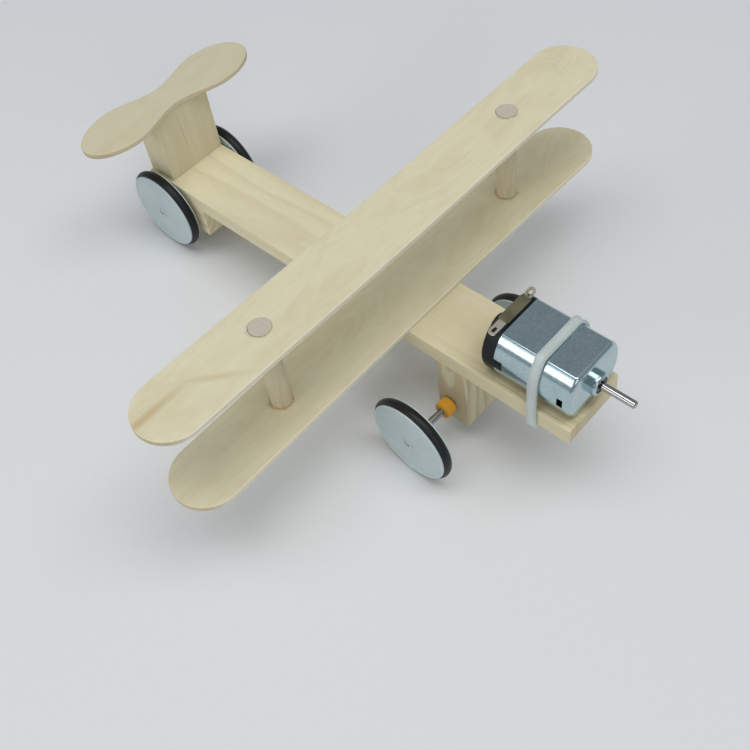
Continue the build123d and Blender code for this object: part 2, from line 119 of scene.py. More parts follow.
MOTOR_ACROSS = 0.35
MOTOR_ABOVE = 7.55
DECK = Deck.from_record(frame["record"], MOTOR_ACROSS, MOTOR_ABOVE)


# ---- Node trees ----


class NodeWork:
    """Adds nodes to one tree, for a material or for geometry."""

    def __init__(self, tree: bpy.types.NodeTree) -> None:
        """Keep the tree that the nodes go into."""
        self.tree = tree

    def add(
        self,
        kind: str,
        settings: dict[str, Any] | None = None,
        sockets: dict[Any, Any] | None = None,
    ) -> bpy.types.Node:
        """Add a node.

        Args:
            kind: The node's type.
            settings: Its settings, set first. The key "stops" fills a colour ramp.
            sockets: Values or links for its inputs, by name or number.

        Returns:
            The new node.
        """
        node = self.tree.nodes.new(kind)
        for name, value in (settings or {}).items():
            if name == "stops":
                self._fill_ramp(node, value)
            else:
                setattr(node, name, value)
        for name, value in (sockets or {}).items():
            source = value.socket if isinstance(value, Value) else value
            if isinstance(source, bpy.types.NodeSocket):
                self.tree.links.new(source, node.inputs[name])
            else:
                node.inputs[name].default_value = source
        return node

    @staticmethod
    def _fill_ramp(node: bpy.types.Node, stops: Sequence[tuple[float, Colour]]) -> None:
        """Fill a colour ramp with (position, colour) stops, in order."""
        elements = node.color_ramp.elements
        while len(elements) < len(stops):
            elements.new(1.0)
        for element, (position, colour) in zip(elements, stops):
            element.position = position
            element.color = (*colour, 1.0)

    def math(self, operation: str, *operands: Any) -> Value:
        """Add a Math node on these numbers or sockets and give its result."""
        node = self.add("ShaderNodeMath", {"operation": operation}, dict(enumerate(operands)))
        return Value(self, node.outputs[0])

    def split(self, vector: Any) -> tuple[Value, Value, Value]:
        """Give a vector's three parts."""
        node = self.add("ShaderNodeSeparateXYZ", {}, {0: vector})
        return Value(self, node.outputs[0]), Value(self, node.outputs[1]), Value(self, node.outputs[2])


class Value:
    """A number in a node tree that takes part in Python arithmetic."""

    def __init__(self, work: NodeWork, socket: bpy.types.NodeSocket) -> None:
        """Keep the socket and the tree that it belongs to."""
        self.work = work
        self.socket = socket

    def __add__(self, other: Any) -> Value:
        """Add."""
        return self.work.math("ADD", self, other)

    __radd__ = __add__

    def __sub__(self, other: Any) -> Value:
        """Take away."""
        return self.work.math("SUBTRACT", self, other)

    def __rsub__(self, other: Any) -> Value:
        """Take this from a number."""
        return self.work.math("SUBTRACT", other, self)

    def __mul__(self, other: Any) -> Value:
        """Multiply."""
        return self.work.math("MULTIPLY", self, other)

    __rmul__ = __mul__

    def __truediv__(self, other: Any) -> Value:
        """Divide."""
        return self.work.math("DIVIDE", self, other)

    def __pow__(self, other: Any) -> Value:
        """Raise to a power."""
        return self.work.math("POWER", self, other)

    def __abs__(self) -> Value:
        """Give the size without the sign."""
        return self.work.math("ABSOLUTE", self)

    def fraction(self) -> Value:
        """Give the part after the decimal point."""
        return self.work.math("FRACT", self)

    def larger(self, other: Any) -> Value:
        """Give the larger of two numbers."""
        return self.work.math("MAXIMUM", self, other)

    def smaller(self, other: Any) -> Value:
        """Give the smaller of two numbers."""
        return self.work.math("MINIMUM", self, other)

    def cosine(self) -> Value:
        """Give the cosine of an angle in radians."""
        return self.work.math("COSINE", self)

    def rise(self, low: float, high: float) -> Value:
        """Give a smooth step from 0 at low to 1 at high."""
        node = self.work.add(
            "ShaderNodeMapRange",
            {"interpolation_type": "SMOOTHSTEP"},
            {"Value": self, "From Min": low, "From Max": high},
        )
        return Value(self.work, node.outputs[0])

    def hump(self, centre: float, half: float) -> Value:
        """Give a smooth bump that is 1 at the centre and 0 past half a width from it."""
        return 1.0 - abs(self - centre).rise(0.0, half)


class MaterialWork(NodeWork):
    """A material's tree, with one Principled shader."""

    def __init__(self, name: str, constants: dict[str, Any]) -> None:
        """Start a material.

        Args:
            name: The material's name.
            constants: Values for the shader's own sockets, the same all over.
        """
        self.material = bpy.data.materials.new(name)
        self.material.use_nodes = True
        super().__init__(self.material.node_tree)
        self.tree.nodes.clear()
        self.shader = self.add("ShaderNodeBsdfPrincipled", {}, constants)
        self.add("ShaderNodeOutputMaterial", {}, {"Surface": self.shader.outputs[0]})

    def local(self, centre: Vector, turn: Euler) -> bpy.types.NodeSocket:
        """Give the piece's own coordinates in millimetres.

        Args:
            centre: Where they start, in the row frame.
            turn: How their axes are turned from the row's.

        Returns:
            The vector socket.
        """
        place = self.add("ShaderNodeTexCoord").outputs["Object"]
        sockets = {"Vector": place, "Location": centre, "Rotation": turn, "Scale": (MM, MM, MM)}
        return self.add("ShaderNodeMapping", {"vector_type": "TEXTURE"}, sockets).outputs[0]

    def stretch(self, vector: Any, factors: Colour) -> bpy.types.NodeSocket:
        """Multiply a vector's parts."""
        node = self.add("ShaderNodeVectorMath", {"operation": "MULTIPLY"}, {0: vector, 1: factors})
        return node.outputs[0]

    def noise(self, place: Any, lumps: Colour, detail: float = 2.0, distortion: float = 0.0) -> Value:
        """Give soft noise from 0 to 1.

        Args:
            place: The piece's own coordinates in millimetres.
            lumps: How many lumps a millimetre holds, along each axis.
            detail: How many finer layers there are.
            distortion: How far the lumps are swirled.

        Returns:
            The noise.
        """
        vector = self.stretch(place, lumps)
        sockets = {"Vector": vector, "Scale": 1.0, "Detail": detail, "Distortion": distortion}
        return Value(self, self.add("ShaderNodeTexNoise", {}, sockets).outputs[0])

    def cells(self, place: Any, lumps: Colour) -> Value:
        """Give the distance to the nearest of scattered points, so many to a millimetre."""
        sockets = {"Vector": self.stretch(place, lumps), "Scale": 1.0, "Randomness": 1.0}
        return Value(self, self.add("ShaderNodeTexVoronoi", {}, sockets).outputs["Distance"])

    def attribute(self, name: str) -> Value:
        """Give a number kept on the mesh."""
        node = self.add("ShaderNodeAttribute", {"attribute_name": name})
        return Value(self, node.outputs["Fac"])

    def facing(self, direction: Vector) -> Value:
        """Give how far the surface faces along a direction, either way."""
        normal = self.add("ShaderNodeNewGeometry").outputs["True Normal"]
        sockets = {0: normal, 1: direction}
        node = self.add("ShaderNodeVectorMath", {"operation": "DOT_PRODUCT"}, sockets)
        return abs(Value(self, node.outputs["Value"]))

    def mix(self, share: Any, first: Any, second: Any) -> bpy.types.NodeSocket:
        """Blend two colours: all first at 0 and all second at 1."""
        ends = [(*c, 1.0) if isinstance(c, tuple) else c for c in (first, second)]
        sockets = {0: share, 6: ends[0], 7: ends[1]}
        return self.add("ShaderNodeMix", {"data_type": "RGBA"}, sockets).outputs[2]

    def finish(self, colour: Any, roughness: Any, height: Any, relief: float) -> bpy.types.Material:
        """Feed the shader what changes over the surface.

        Args:
            colour: Socket of the base colour.
            roughness: Value of the roughness.
            height: Value of the surface's relief, from 0 to 1.
            relief: How deep that relief is, in millimetres.

        Returns:
            The finished material.
        """
        bump = self.add("ShaderNodeBump", {}, {"Distance": relief * MM, "Height": height}).outputs[0]
        for name, value in (("Base Color", colour), ("Roughness", roughness), ("Normal", bump)):
            source = value.socket if isinstance(value, Value) else value
            self.tree.links.new(source, self.shader.inputs[name])
        return self.material


# ---- Finishes ----


class Grain(Enum):
    """Which way a wooden piece's fibres run."""

    FORWARD = "forward"
    ACROSS = "across"
    UPRIGHT = "upright"

    def turn(self) -> Euler:
        """Give axes whose x runs with the fibres, and whose z is the deck's up where it can be."""
        axes = {
            Grain.FORWARD: (DECK.forward, DECK.left, DECK.up),
            Grain.ACROSS: (DECK.left, -DECK.forward, DECK.up),
            Grain.UPRIGHT: (DECK.up, DECK.left, -DECK.forward),
        }
        return Matrix(axes[self]).transposed().to_euler()


@dataclass(frozen=True)
class Streak:
    """A darker stripe that runs with the grain, in the piece's own millimetres."""

    across: float
    half_width: float
    start: float
    end: float
    strength: float
    slope: float = 0.0

    def shade(self, x: Value, y: Value) -> Value:
        """Give how dark the stripe is at a place along (x) and across (y) the grain."""
        line = (y - x * self.slope).hump(self.across, self.half_width)
        reach = x.hump((self.start + self.end) / 2, (self.end - self.start) / 2)
        return line * reach * self.strength


# Lumps to a millimetre: along the grain, across it and through it.
PINE_WANDER = (0.02, 0.09, 0.09)
PINE_PATCH = (0.035, 0.16, 0.16)
PINE_FIBRE = (0.22, 7.0, 7.0)
PINE_FLECK = (0.28, 2.6, 2.6)
PLY_FIGURE = (0.022, 0.07, 0.05)
PLY_CLOUD = (0.05, 0.12, 0.12)
PLY_FIBRE = (0.45, 7.0, 7.0)
PLY_PORE = (1.1, 3.6, 3.6)
DOWEL_FIBRE = (0.12, 4.0, 4.0)
DOWEL_VESSEL = (0.4, 5.5, 5.5)
DOWEL_WANDER = (0.1, 0.4, 0.4)
PLASTIC_CLOUD = (0.18, 0.18, 0.18)
PLASTIC_DUST = (1.3, 1.3, 1.3)
METAL_CLOUD = (0.25, 0.25, 0.25)
METAL_DRAWN = (0.15, 14.0, 14.0)
METAL_SPOT = (0.8, 0.8, 0.8)
METAL_SPANGLE = (1.7, 1.7, 1.7)
GLUE_LUMP = (1.4, 1.4, 1.4)


@dataclass(frozen=True)
class Softwood:
    """Sanded pine with soft growth rings and fine fibres."""

    name: str
    centre: Vector
    grain: Grain
    pith: tuple[float, float] = (-9.0, -31.0)
    ring: float = 2.3
    wander: float = 5.0
    contrast: float = 0.34
    early: Colour = (0.79, 0.73, 0.50)
    late: Colour = (0.58, 0.43, 0.21)
    pale_patch: Colour = (0.79, 0.73, 0.53)
    fibre_shade: Colour = (0.52, 0.40, 0.22)
    fleck_shade: Colour = (0.42, 0.27, 0.13)
    relief: float = 0.05
    streaks: tuple[Streak, ...] = ()

    def make(self) -> bpy.types.Material:
        """Build the material."""
        work = MaterialWork(self.name, {"Specular IOR Level": 0.28})
        grain = work.local(self.centre, self.grain.turn())
        x, y, z = work.split(grain)
        wander = work.noise(grain, PINE_WANDER, 3.0) * self.wander
        across, deep = y - self.pith[0], z - self.pith[1]
        phase = (((across * across + deep * deep) ** 0.5 + wander) / self.ring).fraction()
        late = phase.rise(0.35, 0.9) * (1.0 - phase.rise(0.93, 1.0))
        patch = work.noise(grain, PINE_PATCH, 3.0)
        fibre = work.noise(grain, PINE_FIBRE, 3.0)
        fleck = 1.0 - work.cells(grain, PINE_FLECK).rise(0.02, 0.1)
        dark = late * (self.contrast * (patch + 0.35))
        for streak in self.streaks:
            dark = dark.larger(streak.shade(x, y))
        colour = work.mix(dark, self.early, self.late)
        colour = work.mix(patch.rise(0.35, 0.75) * 0.30, colour, self.pale_patch)
        colour = work.mix((1.0 - fibre).rise(0.35, 0.75) * 0.22, colour, self.fibre_shade)
        colour = work.mix(fleck * 0.35, colour, self.fleck_shade)
        roughness = 0.60 + fibre * 0.16 - late * 0.07
        return work.finish(colour, roughness, fibre * 0.7 + late * 0.3, self.relief)


@dataclass(frozen=True)
class Plywood:
    """Thin birch ply: a pale rotary-cut face and a cut edge of three plies, darker at the ends."""

    name: str
    centre: Vector
    pale: Colour = (0.75, 0.70, 0.50)
    warm: Colour = (0.57, 0.46, 0.255)
    edge: Colour = (0.93, 0.89, 0.72)
    end_edge: Colour = (0.56, 0.45, 0.29)
    fibre_shade: Colour = (0.62, 0.50, 0.32)
    pore_shade: Colour = (0.47, 0.35, 0.21)
    core_shade: Colour = (0.60, 0.46, 0.27)
    figure_scale: float = 1.0
    contours: float = 9.0
    figure_from: float = 0.0
    relief: float = 0.045
    streaks: tuple[Streak, ...] = ()

    def make(self) -> bpy.types.Material:
        """Build the material."""
        work = MaterialWork(self.name, {"Specular IOR Level": 0.30})
        grain = work.local(self.centre - DECK.up * self.figure_from, Grain.ACROSS.turn())
        x, y, _ = work.split(grain)
        rim, depth = work.attribute("rim"), work.attribute("depth")
        along, over, through = PLY_FIGURE
        lumps = (along * self.figure_scale, over * self.figure_scale, through)
        bands = abs((work.noise(grain, lumps, 2.0, 1.2) * self.contours).fraction() * 2.0 - 1.0)
        cloud = work.noise(grain, PLY_CLOUD, 3.0, 0.6)
        fibre = work.noise(grain, PLY_FIBRE, 3.0)
        pore = 1.0 - work.cells(grain, PLY_PORE).rise(0.03, 0.20)
        cut = 1.0 - rim.rise(0.05, 0.22)
        core = depth.hump(0.5, 0.22) * cut
        warmth = bands * 0.16 + cloud.rise(0.38, 0.72) * 0.22
        for streak in self.streaks:
            warmth = warmth.larger(streak.shade(x, y))
        colour = work.mix(warmth, self.pale, self.warm)
        colour = work.mix((1.0 - fibre).rise(0.42, 0.75) * 0.20, colour, self.fibre_shade)
        colour = work.mix(pore * 0.30, colour, self.pore_shade)
        fibre_end = work.facing(DECK.left).rise(0.15, 0.75)
        colour = work.mix(cut * 0.65, colour, work.mix(fibre_end, self.edge, self.end_edge))
        colour = work.mix(core * 0.45, colour, self.core_shade)
        roughness = 0.56 + fibre * 0.18 + cut * 0.12
        height = fibre * 0.6 + (1.0 - pore) * 0.4 - core * 0.5
        return work.finish(colour, roughness, height, self.relief)


@dataclass(frozen=True)
class DowelWood:
    """A turned birch dowel: fine straight fibres, and greyer end grain."""

    name: str
    centre: Vector
    half_length: float
    side: Colour = (0.68, 0.61, 0.43)
    side_shade: Colour = (0.50, 0.38, 0.22)
    end: Colour = (0.57, 0.52, 0.43)
    end_shade: Colour = (0.36, 0.30, 0.24)
    ring: float = 0.9
    wander: float = 1.5
    relief: float = 0.05

    def make(self) -> bpy.types.Material:
        """Build the material."""
        work = MaterialWork(self.name, {"Specular IOR Level": 0.28})
        grain = work.local(self.centre, Grain.UPRIGHT.turn())
        x, y, _ = work.split(grain)
        fibre = work.noise(grain, DOWEL_FIBRE, 3.0)
        vessel = 1.0 - work.cells(grain, DOWEL_VESSEL).rise(0.05, 0.28)
        bent = y + work.noise(grain, DOWEL_WANDER) * self.wander
        ring = abs((bent / self.ring).fraction() - 0.5)
        end = abs(x).rise(self.half_length - 0.06, self.half_length - 0.02)
        colour = work.mix((1.0 - fibre).rise(0.3, 0.8) * 0.5, self.side, self.side_shade)
        end_grain = work.mix(vessel * 0.5 + ring * 0.35, self.end, self.end_shade)
        roughness = 0.62 + fibre * 0.15 + end * 0.1
        height = fibre * 0.5 - vessel * 0.4
        return work.finish(work.mix(end, colour, end_grain), roughness, height, self.relief)


@dataclass(frozen=True)
class Moulded:
    """Moulded or punched plastic, board or fibre, with faint flow marks and dust."""

    name: str
    colour: Colour
    shade: Colour
    roughness: float
    mottle: float = 0.25
    speck: float = 0.15
    texture: float = 6.0
    relief: float = 0.012
    constants: tuple[tuple[str, Any], ...] = ()

    def make(self) -> bpy.types.Material:
        """Build the material."""
        work = MaterialWork(self.name, dict(self.constants))
        place = work.local(DECK.origin, Grain.FORWARD.turn())
        cloud = work.noise(place, PLASTIC_CLOUD, 4.0, 0.5)
        skin = work.noise(place, (self.texture,) * 3, 3.0)
        dust = 1.0 - work.cells(place, PLASTIC_DUST).rise(0.04, 0.10)
        colour = work.mix(cloud.rise(0.3, 0.8) * self.mottle, self.colour, self.shade)
        dusty = tuple(0.5 * part + 0.4 for part in self.colour)
        colour = work.mix(dust * self.speck, colour, dusty)
        roughness = self.roughness + cloud * 0.10 + dust * 0.15 + skin * 0.05 - 0.07
        return work.finish(colour, roughness, skin, self.relief)


@dataclass(frozen=True)
class Metal:
    """Drawn, plated or pressed metal with smudges, fine scratches and a little tarnish."""

    name: str
    colour: Colour
    tarnish: Colour
    roughness: float
    direction: Grain = Grain.FORWARD
    smudge: float = 0.12
    scratch: float = 0.08
    tarnished: float = 0.25
    relief: float = 0.004
    spangle: float = 0.0

    def make(self) -> bpy.types.Material:
        """Build the material."""
        work = MaterialWork(self.name, {"Metallic": 1.0})
        place = work.local(DECK.origin, self.direction.turn())
        cloud = work.noise(place, METAL_CLOUD, 4.0, 0.4)
        drawn = work.noise(place, METAL_DRAWN, 2.0)
        spot = 1.0 - work.cells(place, METAL_SPOT).rise(0.05, 0.16)
        colour = work.mix(cloud.rise(0.35, 0.8) * self.tarnished, self.colour, self.tarnish)
        colour = work.mix(spot * self.tarnished * 0.6, colour, self.tarnish)
        if self.spangle:
            grains = work.noise(place, METAL_SPANGLE, 4.0).rise(0.35, 0.65)
            bright = tuple(min(1.0, part * 1.5) for part in self.colour)
            colour = work.mix(grains * self.spangle, colour, bright)
        wear = (cloud - 0.5) * self.smudge + (drawn - 0.5) * self.scratch + spot * 0.08
        return work.finish(colour, self.roughness + wear, drawn * 0.6 + cloud * 0.4, self.relief)


@dataclass(frozen=True)
class Glue:
    """Dried wood glue: amber, half clear and slightly wrinkled."""

    name: str = "dried_glue"
    thick: Colour = (0.46, 0.30, 0.13)
    thin: Colour = (0.64, 0.47, 0.25)
    relief: float = 0.04

    def make(self) -> bpy.types.Material:
        """Build the material."""
        constants = {
            "Subsurface Weight": 0.4,
            "Subsurface Radius": (0.5, 0.3, 0.1),
            "Subsurface Scale": MM,
        }
        work = MaterialWork(self.name, constants)
        place = work.local(DECK.origin, Grain.FORWARD.turn())
        lump = work.noise(place, GLUE_LUMP, 3.0)
        colour = work.mix(lump.rise(0.3, 0.7), self.thick, self.thin)
        return work.finish(colour, 0.30 + lump * 0.2, lump, self.relief)


CLEAR_NYLON = (
    ("Subsurface Weight", 0.75),
    ("Subsurface Radius", (1.0, 1.0, 1.0)),
    ("Subsurface Scale", 0.8 * MM),
    ("Specular IOR Level", 0.5),
)
MILKY = (
    ("Subsurface Weight", 0.35),
    ("Subsurface Radius", (1.0, 1.0, 1.0)),
    ("Subsurface Scale", 0.6 * MM),
    ("Specular IOR Level", 0.45),
)
SOFT_AMBER = (
    ("Subsurface Weight", 0.25),
    ("Subsurface Radius", (1.0, 0.4, 0.1)),
    ("Subsurface Scale", 0.6 * MM),
)
RUBBER = (("Specular IOR Level", 0.30),)
DULL_BLACK = (("Specular IOR Level", 0.22),)


def dress(nodes: Iterable[str], finish: Any) -> None:
    """Give CAD nodes one finish.

    Args:
        nodes: The nodes' names.
        finish: Any of the finishes above.
    """
    material = finish.make()
    for name in nodes:
        slots = frame["nodes"][name].material_slots
        if not slots:
            frame["nodes"][name].data.materials.append(material)
        for slot in slots:
            slot.material = material
        LOG.info("%s dressed as %s", name, finish.name)


# ---- Making pieces ----


def place_piece(
    mesh: bpy.types.Mesh,
    name: str,
    body: str,
    material: bpy.types.Material | None = None,
    replaces: Sequence[str] = (),
) -> bpy.types.Object:
    """Put a finished mesh in the scene as a piece of the object.

    Args:
        mesh: The mesh, in the row frame's metres.
        name: The piece's name.
        body: The CAD body that it rides on.
        material: Its material, if the mesh doesn't carry one yet.
        replaces: CAD nodes that it stands for.

    Returns:
        The new object.
    """
    if material:
        mesh.materials.clear()
        mesh.materials.append(material)
    mesh.name = name
    piece = bpy.data.objects.new(name, mesh)
    bpy.context.scene.collection.objects.link(piece)
    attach(piece, body)
    if replaces:
        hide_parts(*replaces)
    LOG.info("%s: %d faces, rides on %s", name, len(mesh.polygons), body)
    return piece


def mesh_from(name: str, points: Sequence[Any], faces: Sequence[Sequence[int]]) -> bpy.types.Mesh:
    """Make a smooth-shaded mesh whose faces point outwards."""
    mesh = bpy.data.meshes.new(name)
    mesh.from_pydata([tuple(p) for p in points], [], [tuple(f) for f in faces])
    work = bmesh.new()
    work.from_mesh(mesh)
    bmesh.ops.recalc_face_normals(work, faces=work.faces)
    for face in work.faces:
        face.smooth = True
    work.to_mesh(mesh)
    work.free()
    return mesh


def keep_mesh(holder: bpy.types.Object, name: str) -> bpy.types.Mesh:
    """Turn an object with modifiers into a plain mesh, and remove the object."""
    view = bpy.context.evaluated_depsgraph_get()
    mesh = bpy.data.meshes.new_from_object(
        holder.evaluated_get(view), preserve_all_data_layers=True, depsgraph=view
    )
    mesh.name = name
    holder.modifiers.clear()
    bpy.data.objects.remove(holder)
    return mesh


def hold(mesh: bpy.types.Mesh) -> bpy.types.Object:
    """Put a mesh on an object for a while, so that modifiers can work on it."""
    holder = bpy.data.objects.new("holder", mesh)
    bpy.context.scene.collection.objects.link(holder)
    return holder


class GeometryTree(NodeWork):
    """A Geometry Nodes tree with named inputs for its sizes."""

    KINDS = {float: "NodeSocketFloat", int: "NodeSocketInt", Vector: "NodeSocketVector"}

    def __init__(self, name: str, sizes: dict[str, Any]) -> None:
        """Start a tree.

        Args:
            name: The tree's name.
            sizes: Its inputs and their values.
        """
        super().__init__(bpy.data.node_groups.new(name, "GeometryNodeTree"))
        self.sizes = sizes
        interface = self.tree.interface
        interface.new_socket(name="Geometry", in_out="INPUT", socket_type="NodeSocketGeometry")
        interface.new_socket(name="Geometry", in_out="OUTPUT", socket_type="NodeSocketGeometry")
        for label, size in sizes.items():
            interface.new_socket(name=label, in_out="INPUT", socket_type=self.KINDS[type(size)])
        interface.new_socket(name="Finish", in_out="INPUT", socket_type="NodeSocketMaterial")
        self.inputs = self.add("NodeGroupInput").outputs

    def size(self, label: str) -> Value:
        """Give an input as a number that takes part in arithmetic."""
        return Value(self, self.inputs[label])

    def close(self, geometry: Any) -> None:
        """End the tree: make instances real, set the material and give the result."""
        real = self.add("GeometryNodeRealizeInstances", {}, {0: geometry}).outputs[0]
        smooth = self.add("GeometryNodeSetShadeSmooth", {}, {0: real}).outputs[0]
        dressed = self.add("GeometryNodeSetMaterial", {}, {0: smooth, "Material": self.inputs["Finish"]})
        self.add("NodeGroupOutput", {}, {0: dressed.outputs[0]})

    def grow(self, mesh: bpy.types.Mesh, name: str, material: bpy.types.Material) -> bpy.types.Mesh:
        """Run the tree on a mesh.

        Args:
            mesh: What the tree starts from.
            name: Name of the result.
            material: The finish that it sets.

        Returns:
            A plain mesh.
        """
        holder = hold(mesh)
        modifier = holder.modifiers.new(name, "NODES")
        modifier.node_group = self.tree
        given = {**self.sizes, "Finish": material}
        for item in self.tree.interface.items_tree:
            if item.in_out == "INPUT" and item.name in given:
                modifier[item.identifier] = given[item.name]
        holder.update_tag()
        return keep_mesh(holder, name)


def empty_mesh(name: str) -> bpy.types.Mesh:
    """Make a mesh with nothing in it, for a tree that draws everything itself."""
    return bpy.data.meshes.new(name)


# ---- Ply plates ----


@dataclass
class PlyPlate:
    """A thin ply plate, symmetric about its long axis, with a slightly ragged cut edge.

    The long axis is the plate's own y. Sizes are in millimetres.
    """

    half_length: float
    thick: float = 1.5
    ease: float = 0.2
    stations: int = 200
    strips: int = 12
    ragged: float = 0.035
    ragged_depth: float = 0.4
    seed: int = 1

    def half_width(self, station: float) -> float:
        """Give half the width at a distance from the middle."""
        raise NotImplementedError

    def side(self) -> list[Vector]:
        """Give the outline's front side from the right tip to the left tip."""
        angles = [math.pi * (i / self.stations - 0.5) for i in range(self.stations + 1)]
        places = [self.half_length * math.sin(a) for a in angles]
        return [Vector((self.half_width(y), y)) for y in places]

    def inset(self, side: list[Vector], distance: float) -> list[Vector]:
        """Move the outline's front side inwards by a distance."""
        moved = [Vector((0.0, side[0].y + distance))]
        for before, here, after in zip(side, side[1:], side[2:]):
            run = (after - before).normalized()
            moved.append(here + Vector((-run.y, run.x)) * distance)
        return moved + [Vector((0.0, side[-1].y - distance))]

    def profile(self) -> Section:
        """Give the edge's section as (inset, height), from the lower face round to the upper one."""
        rounded = [(self.ease * (1 - math.sin(a)), self.ease * (1 - math.cos(a)))
                   for a in (math.pi / 6, math.pi / 3, math.pi / 2)]
        lower = [(1.0, 0.0), (0.45, 0.0), (self.ease, 0.0)] + rounded
        upper = [(depth, self.thick - height) for depth, height in reversed(lower)]
        return lower + [(0.0, self.thick / 2)] + upper

    def mesh(self, name: str) -> bpy.types.Mesh:
        """Build the flat plate, with its rim and depth kept on the mesh.

        Args:
            name: The mesh's name.

        Returns:
            The plate in its own millimetres, standing on z = 0.
        """
        side, chance = self.side(), random.Random(self.seed)
        wobble = [chance.uniform(-1, 1) * self.ragged for _ in range(2 * self.stations)]
        points, faces, rims, depths = [], [], [], []
        count, last = 2 * self.stations, self.stations
        for depth, height in self.profile():
            front = self.inset(side, depth)
            loop = front + [Vector((-p.x, p.y)) for p in front[-2:0:-1]]
            share = max(0.0, 1.0 - depth / self.ragged_depth)
            for number, point in enumerate(loop):
                pull = 1.0 - share * (wobble[number] + self.ragged) / max(point.length, 1.0)
                points.append((point.x * pull, point.y * pull, height))
                rims.append(depth)
                depths.append(height / self.thick)
        rings = len(points) // count
        for ring in range(rings - 1):
            for number in range(count):
                following = (number + 1) % count
                faces.append([ring * count + number, ring * count + following,
                              (ring + 1) * count + following, (ring + 1) * count + number])
        for start in (0, (rings - 1) * count):
            rows = [[start] * (self.strips + 1)]
            for station in range(1, last):
                ends = points[start + station], points[start + count - station]
                row = [start + station]
                for strip in range(1, self.strips):
                    share = strip / self.strips
                    points.append(tuple(a + (b - a) * share for a, b in zip(*ends)))
                    rims.append(min(share, 1 - share) * abs(ends[0][0] - ends[1][0]) + 1.0)
                    depths.append(points[start][2] / self.thick)
                    row.append(len(points) - 1)
                rows.append(row + [start + count - station])
            rows.append([start + last] * (self.strips + 1))
            for row, following in zip(rows, rows[1:]):
                for i in range(self.strips):
                    corners = [row[i], row[i + 1], following[i + 1], following[i]]
                    faces.append(list(dict.fromkeys(corners)))
        mesh = mesh_from(name, points, faces)
        for label, numbers in (("rim", rims), ("depth", depths)):
            mesh.attributes.new(label, "FLOAT", "POINT").data.foreach_set("value", numbers)
        return mesh


@dataclass
class WingPlate(PlyPlate):
    """A straight wing with half-round ends."""

    half_chord: float = 9.0

    def half_width(self, station: float) -> float:
        """Give half the chord at a distance from the middle."""
        past = max(0.0, abs(station) - (self.half_length - self.half_chord))
        return math.sqrt(max(0.0, self.half_chord**2 - past**2))


@dataclass
class TailPlate(PlyPlate):
    """A tailplane shaped like two spoons: full lobes and a narrow waist."""

    lobe_at: float = 16.0
    lobe_half: float = 8.28
    waist_half: float = 4.6

    def half_width(self, station: float) -> float:
        """Give half the width at a distance from the middle."""
        away = abs(station)
        if away > self.lobe_at:
            share = (away - self.lobe_at) / (self.half_length - self.lobe_at)
            return self.lobe_half * math.sqrt(max(0.0, 1.0 - share**2))
        share = away / self.lobe_at
        return self.waist_half + (self.lobe_half - self.waist_half) * share**2 * (3 - 2 * share)


@dataclass
class Bow:
    """How a ply plate has bent since it was glued, in millimetres."""

    sag: float = 0.0
    reach: float = 60.0
    droop: float = 0.0
    droop_from: float = 20.0
    half_length: float = 78.25

    def bend(
        self, mesh: bpy.types.Mesh, name: str, place: Matrix, material: bpy.types.Material,
    ) -> bpy.types.Mesh:
        """Bend a flat plate by a rule, then put it in its place.

        Args:
            mesh: The flat plate, in its own millimetres.
            name: Name of the result.
            place: Its placing in the row frame.
            material: Its finish.

        Returns:
            The bent plate in the row frame.
        """
        tree = GeometryTree(f"{name}_bow", {
            "Centre Sag": float(self.sag), "Sag Reach": float(self.reach),
            "Tip Droop": float(self.droop), "Droop From": float(self.droop_from),
            "Half Length": float(self.half_length),
        })
        _, y, _ = tree.split(tree.add("GeometryNodeInputPosition").outputs[0])
        near = abs(y / tree.size("Sag Reach")).smaller(1.0)
        sag = ((near * math.pi).cosine() + 1.0) * tree.size("Centre Sag") * -0.5
        past = (abs(y) - tree.size("Droop From")).larger(0.0)
        share = past / (tree.size("Half Length") - tree.size("Droop From"))
        droop = share * share * tree.size("Tip Droop") * -1.0
        offset = tree.add("ShaderNodeCombineXYZ", {}, {"Z": sag + droop}).outputs[0]
        bent = tree.add("GeometryNodeSetPosition", {}, {0: tree.inputs["Geometry"], "Offset": offset})
        tree.close(bent.outputs[0])
        result = tree.grow(mesh, name, material)
        result.transform(place)
        return result


DRILL_DEEP = 8 * MM
DRILL_SIDES = 72


def drill(mesh: bpy.types.Mesh, name: str, holes: Sequence[tuple[Vector, float]]) -> bpy.types.Mesh:
    """Drill round holes through a plate along the deck's up.

    Args:
        mesh: The plate in the row frame.
        name: Name of the result.
        holes: Each hole's place on the deck and its radius in metres.

    Returns:
        The drilled plate.
    """
    holder = hold(mesh)
    cutters = []
    turn = Matrix((DECK.forward, DECK.left, DECK.up)).transposed().to_4x4()
    for centre, radius in holes:
        cutter_mesh = bpy.data.meshes.new("cutter")
        work = bmesh.new()
        bmesh.ops.create_cone(
            work, cap_ends=True, segments=DRILL_SIDES, radius1=radius, radius2=radius, depth=DRILL_DEEP)
        bmesh.ops.transform(work, matrix=Matrix.Translation(centre) @ turn, verts=work.verts)
        work.to_mesh(cutter_mesh)
        work.free()
        cutter = hold(cutter_mesh)
        modifier = holder.modifiers.new("drill", "BOOLEAN")
        modifier.operation = "DIFFERENCE"
        modifier.solver = "EXACT"
        modifier.object = cutter
        cutters.append(cutter)
    result = keep_mesh(holder, name)
    for cutter in cutters:
        bpy.data.objects.remove(cutter)
    return result


# ---- Airframe ----


@dataclass(frozen=True)
class Wing:
    """Where a wing lies on the deck in millimetres, and what its ply is like."""

    node: str
    across: float
    under: float
    yaw: float
    half_chord: float
    seed: int
    bow: Bow
    marks: tuple[Streak, ...]
    figure_from: float = 0.0
    along: float = -58.5


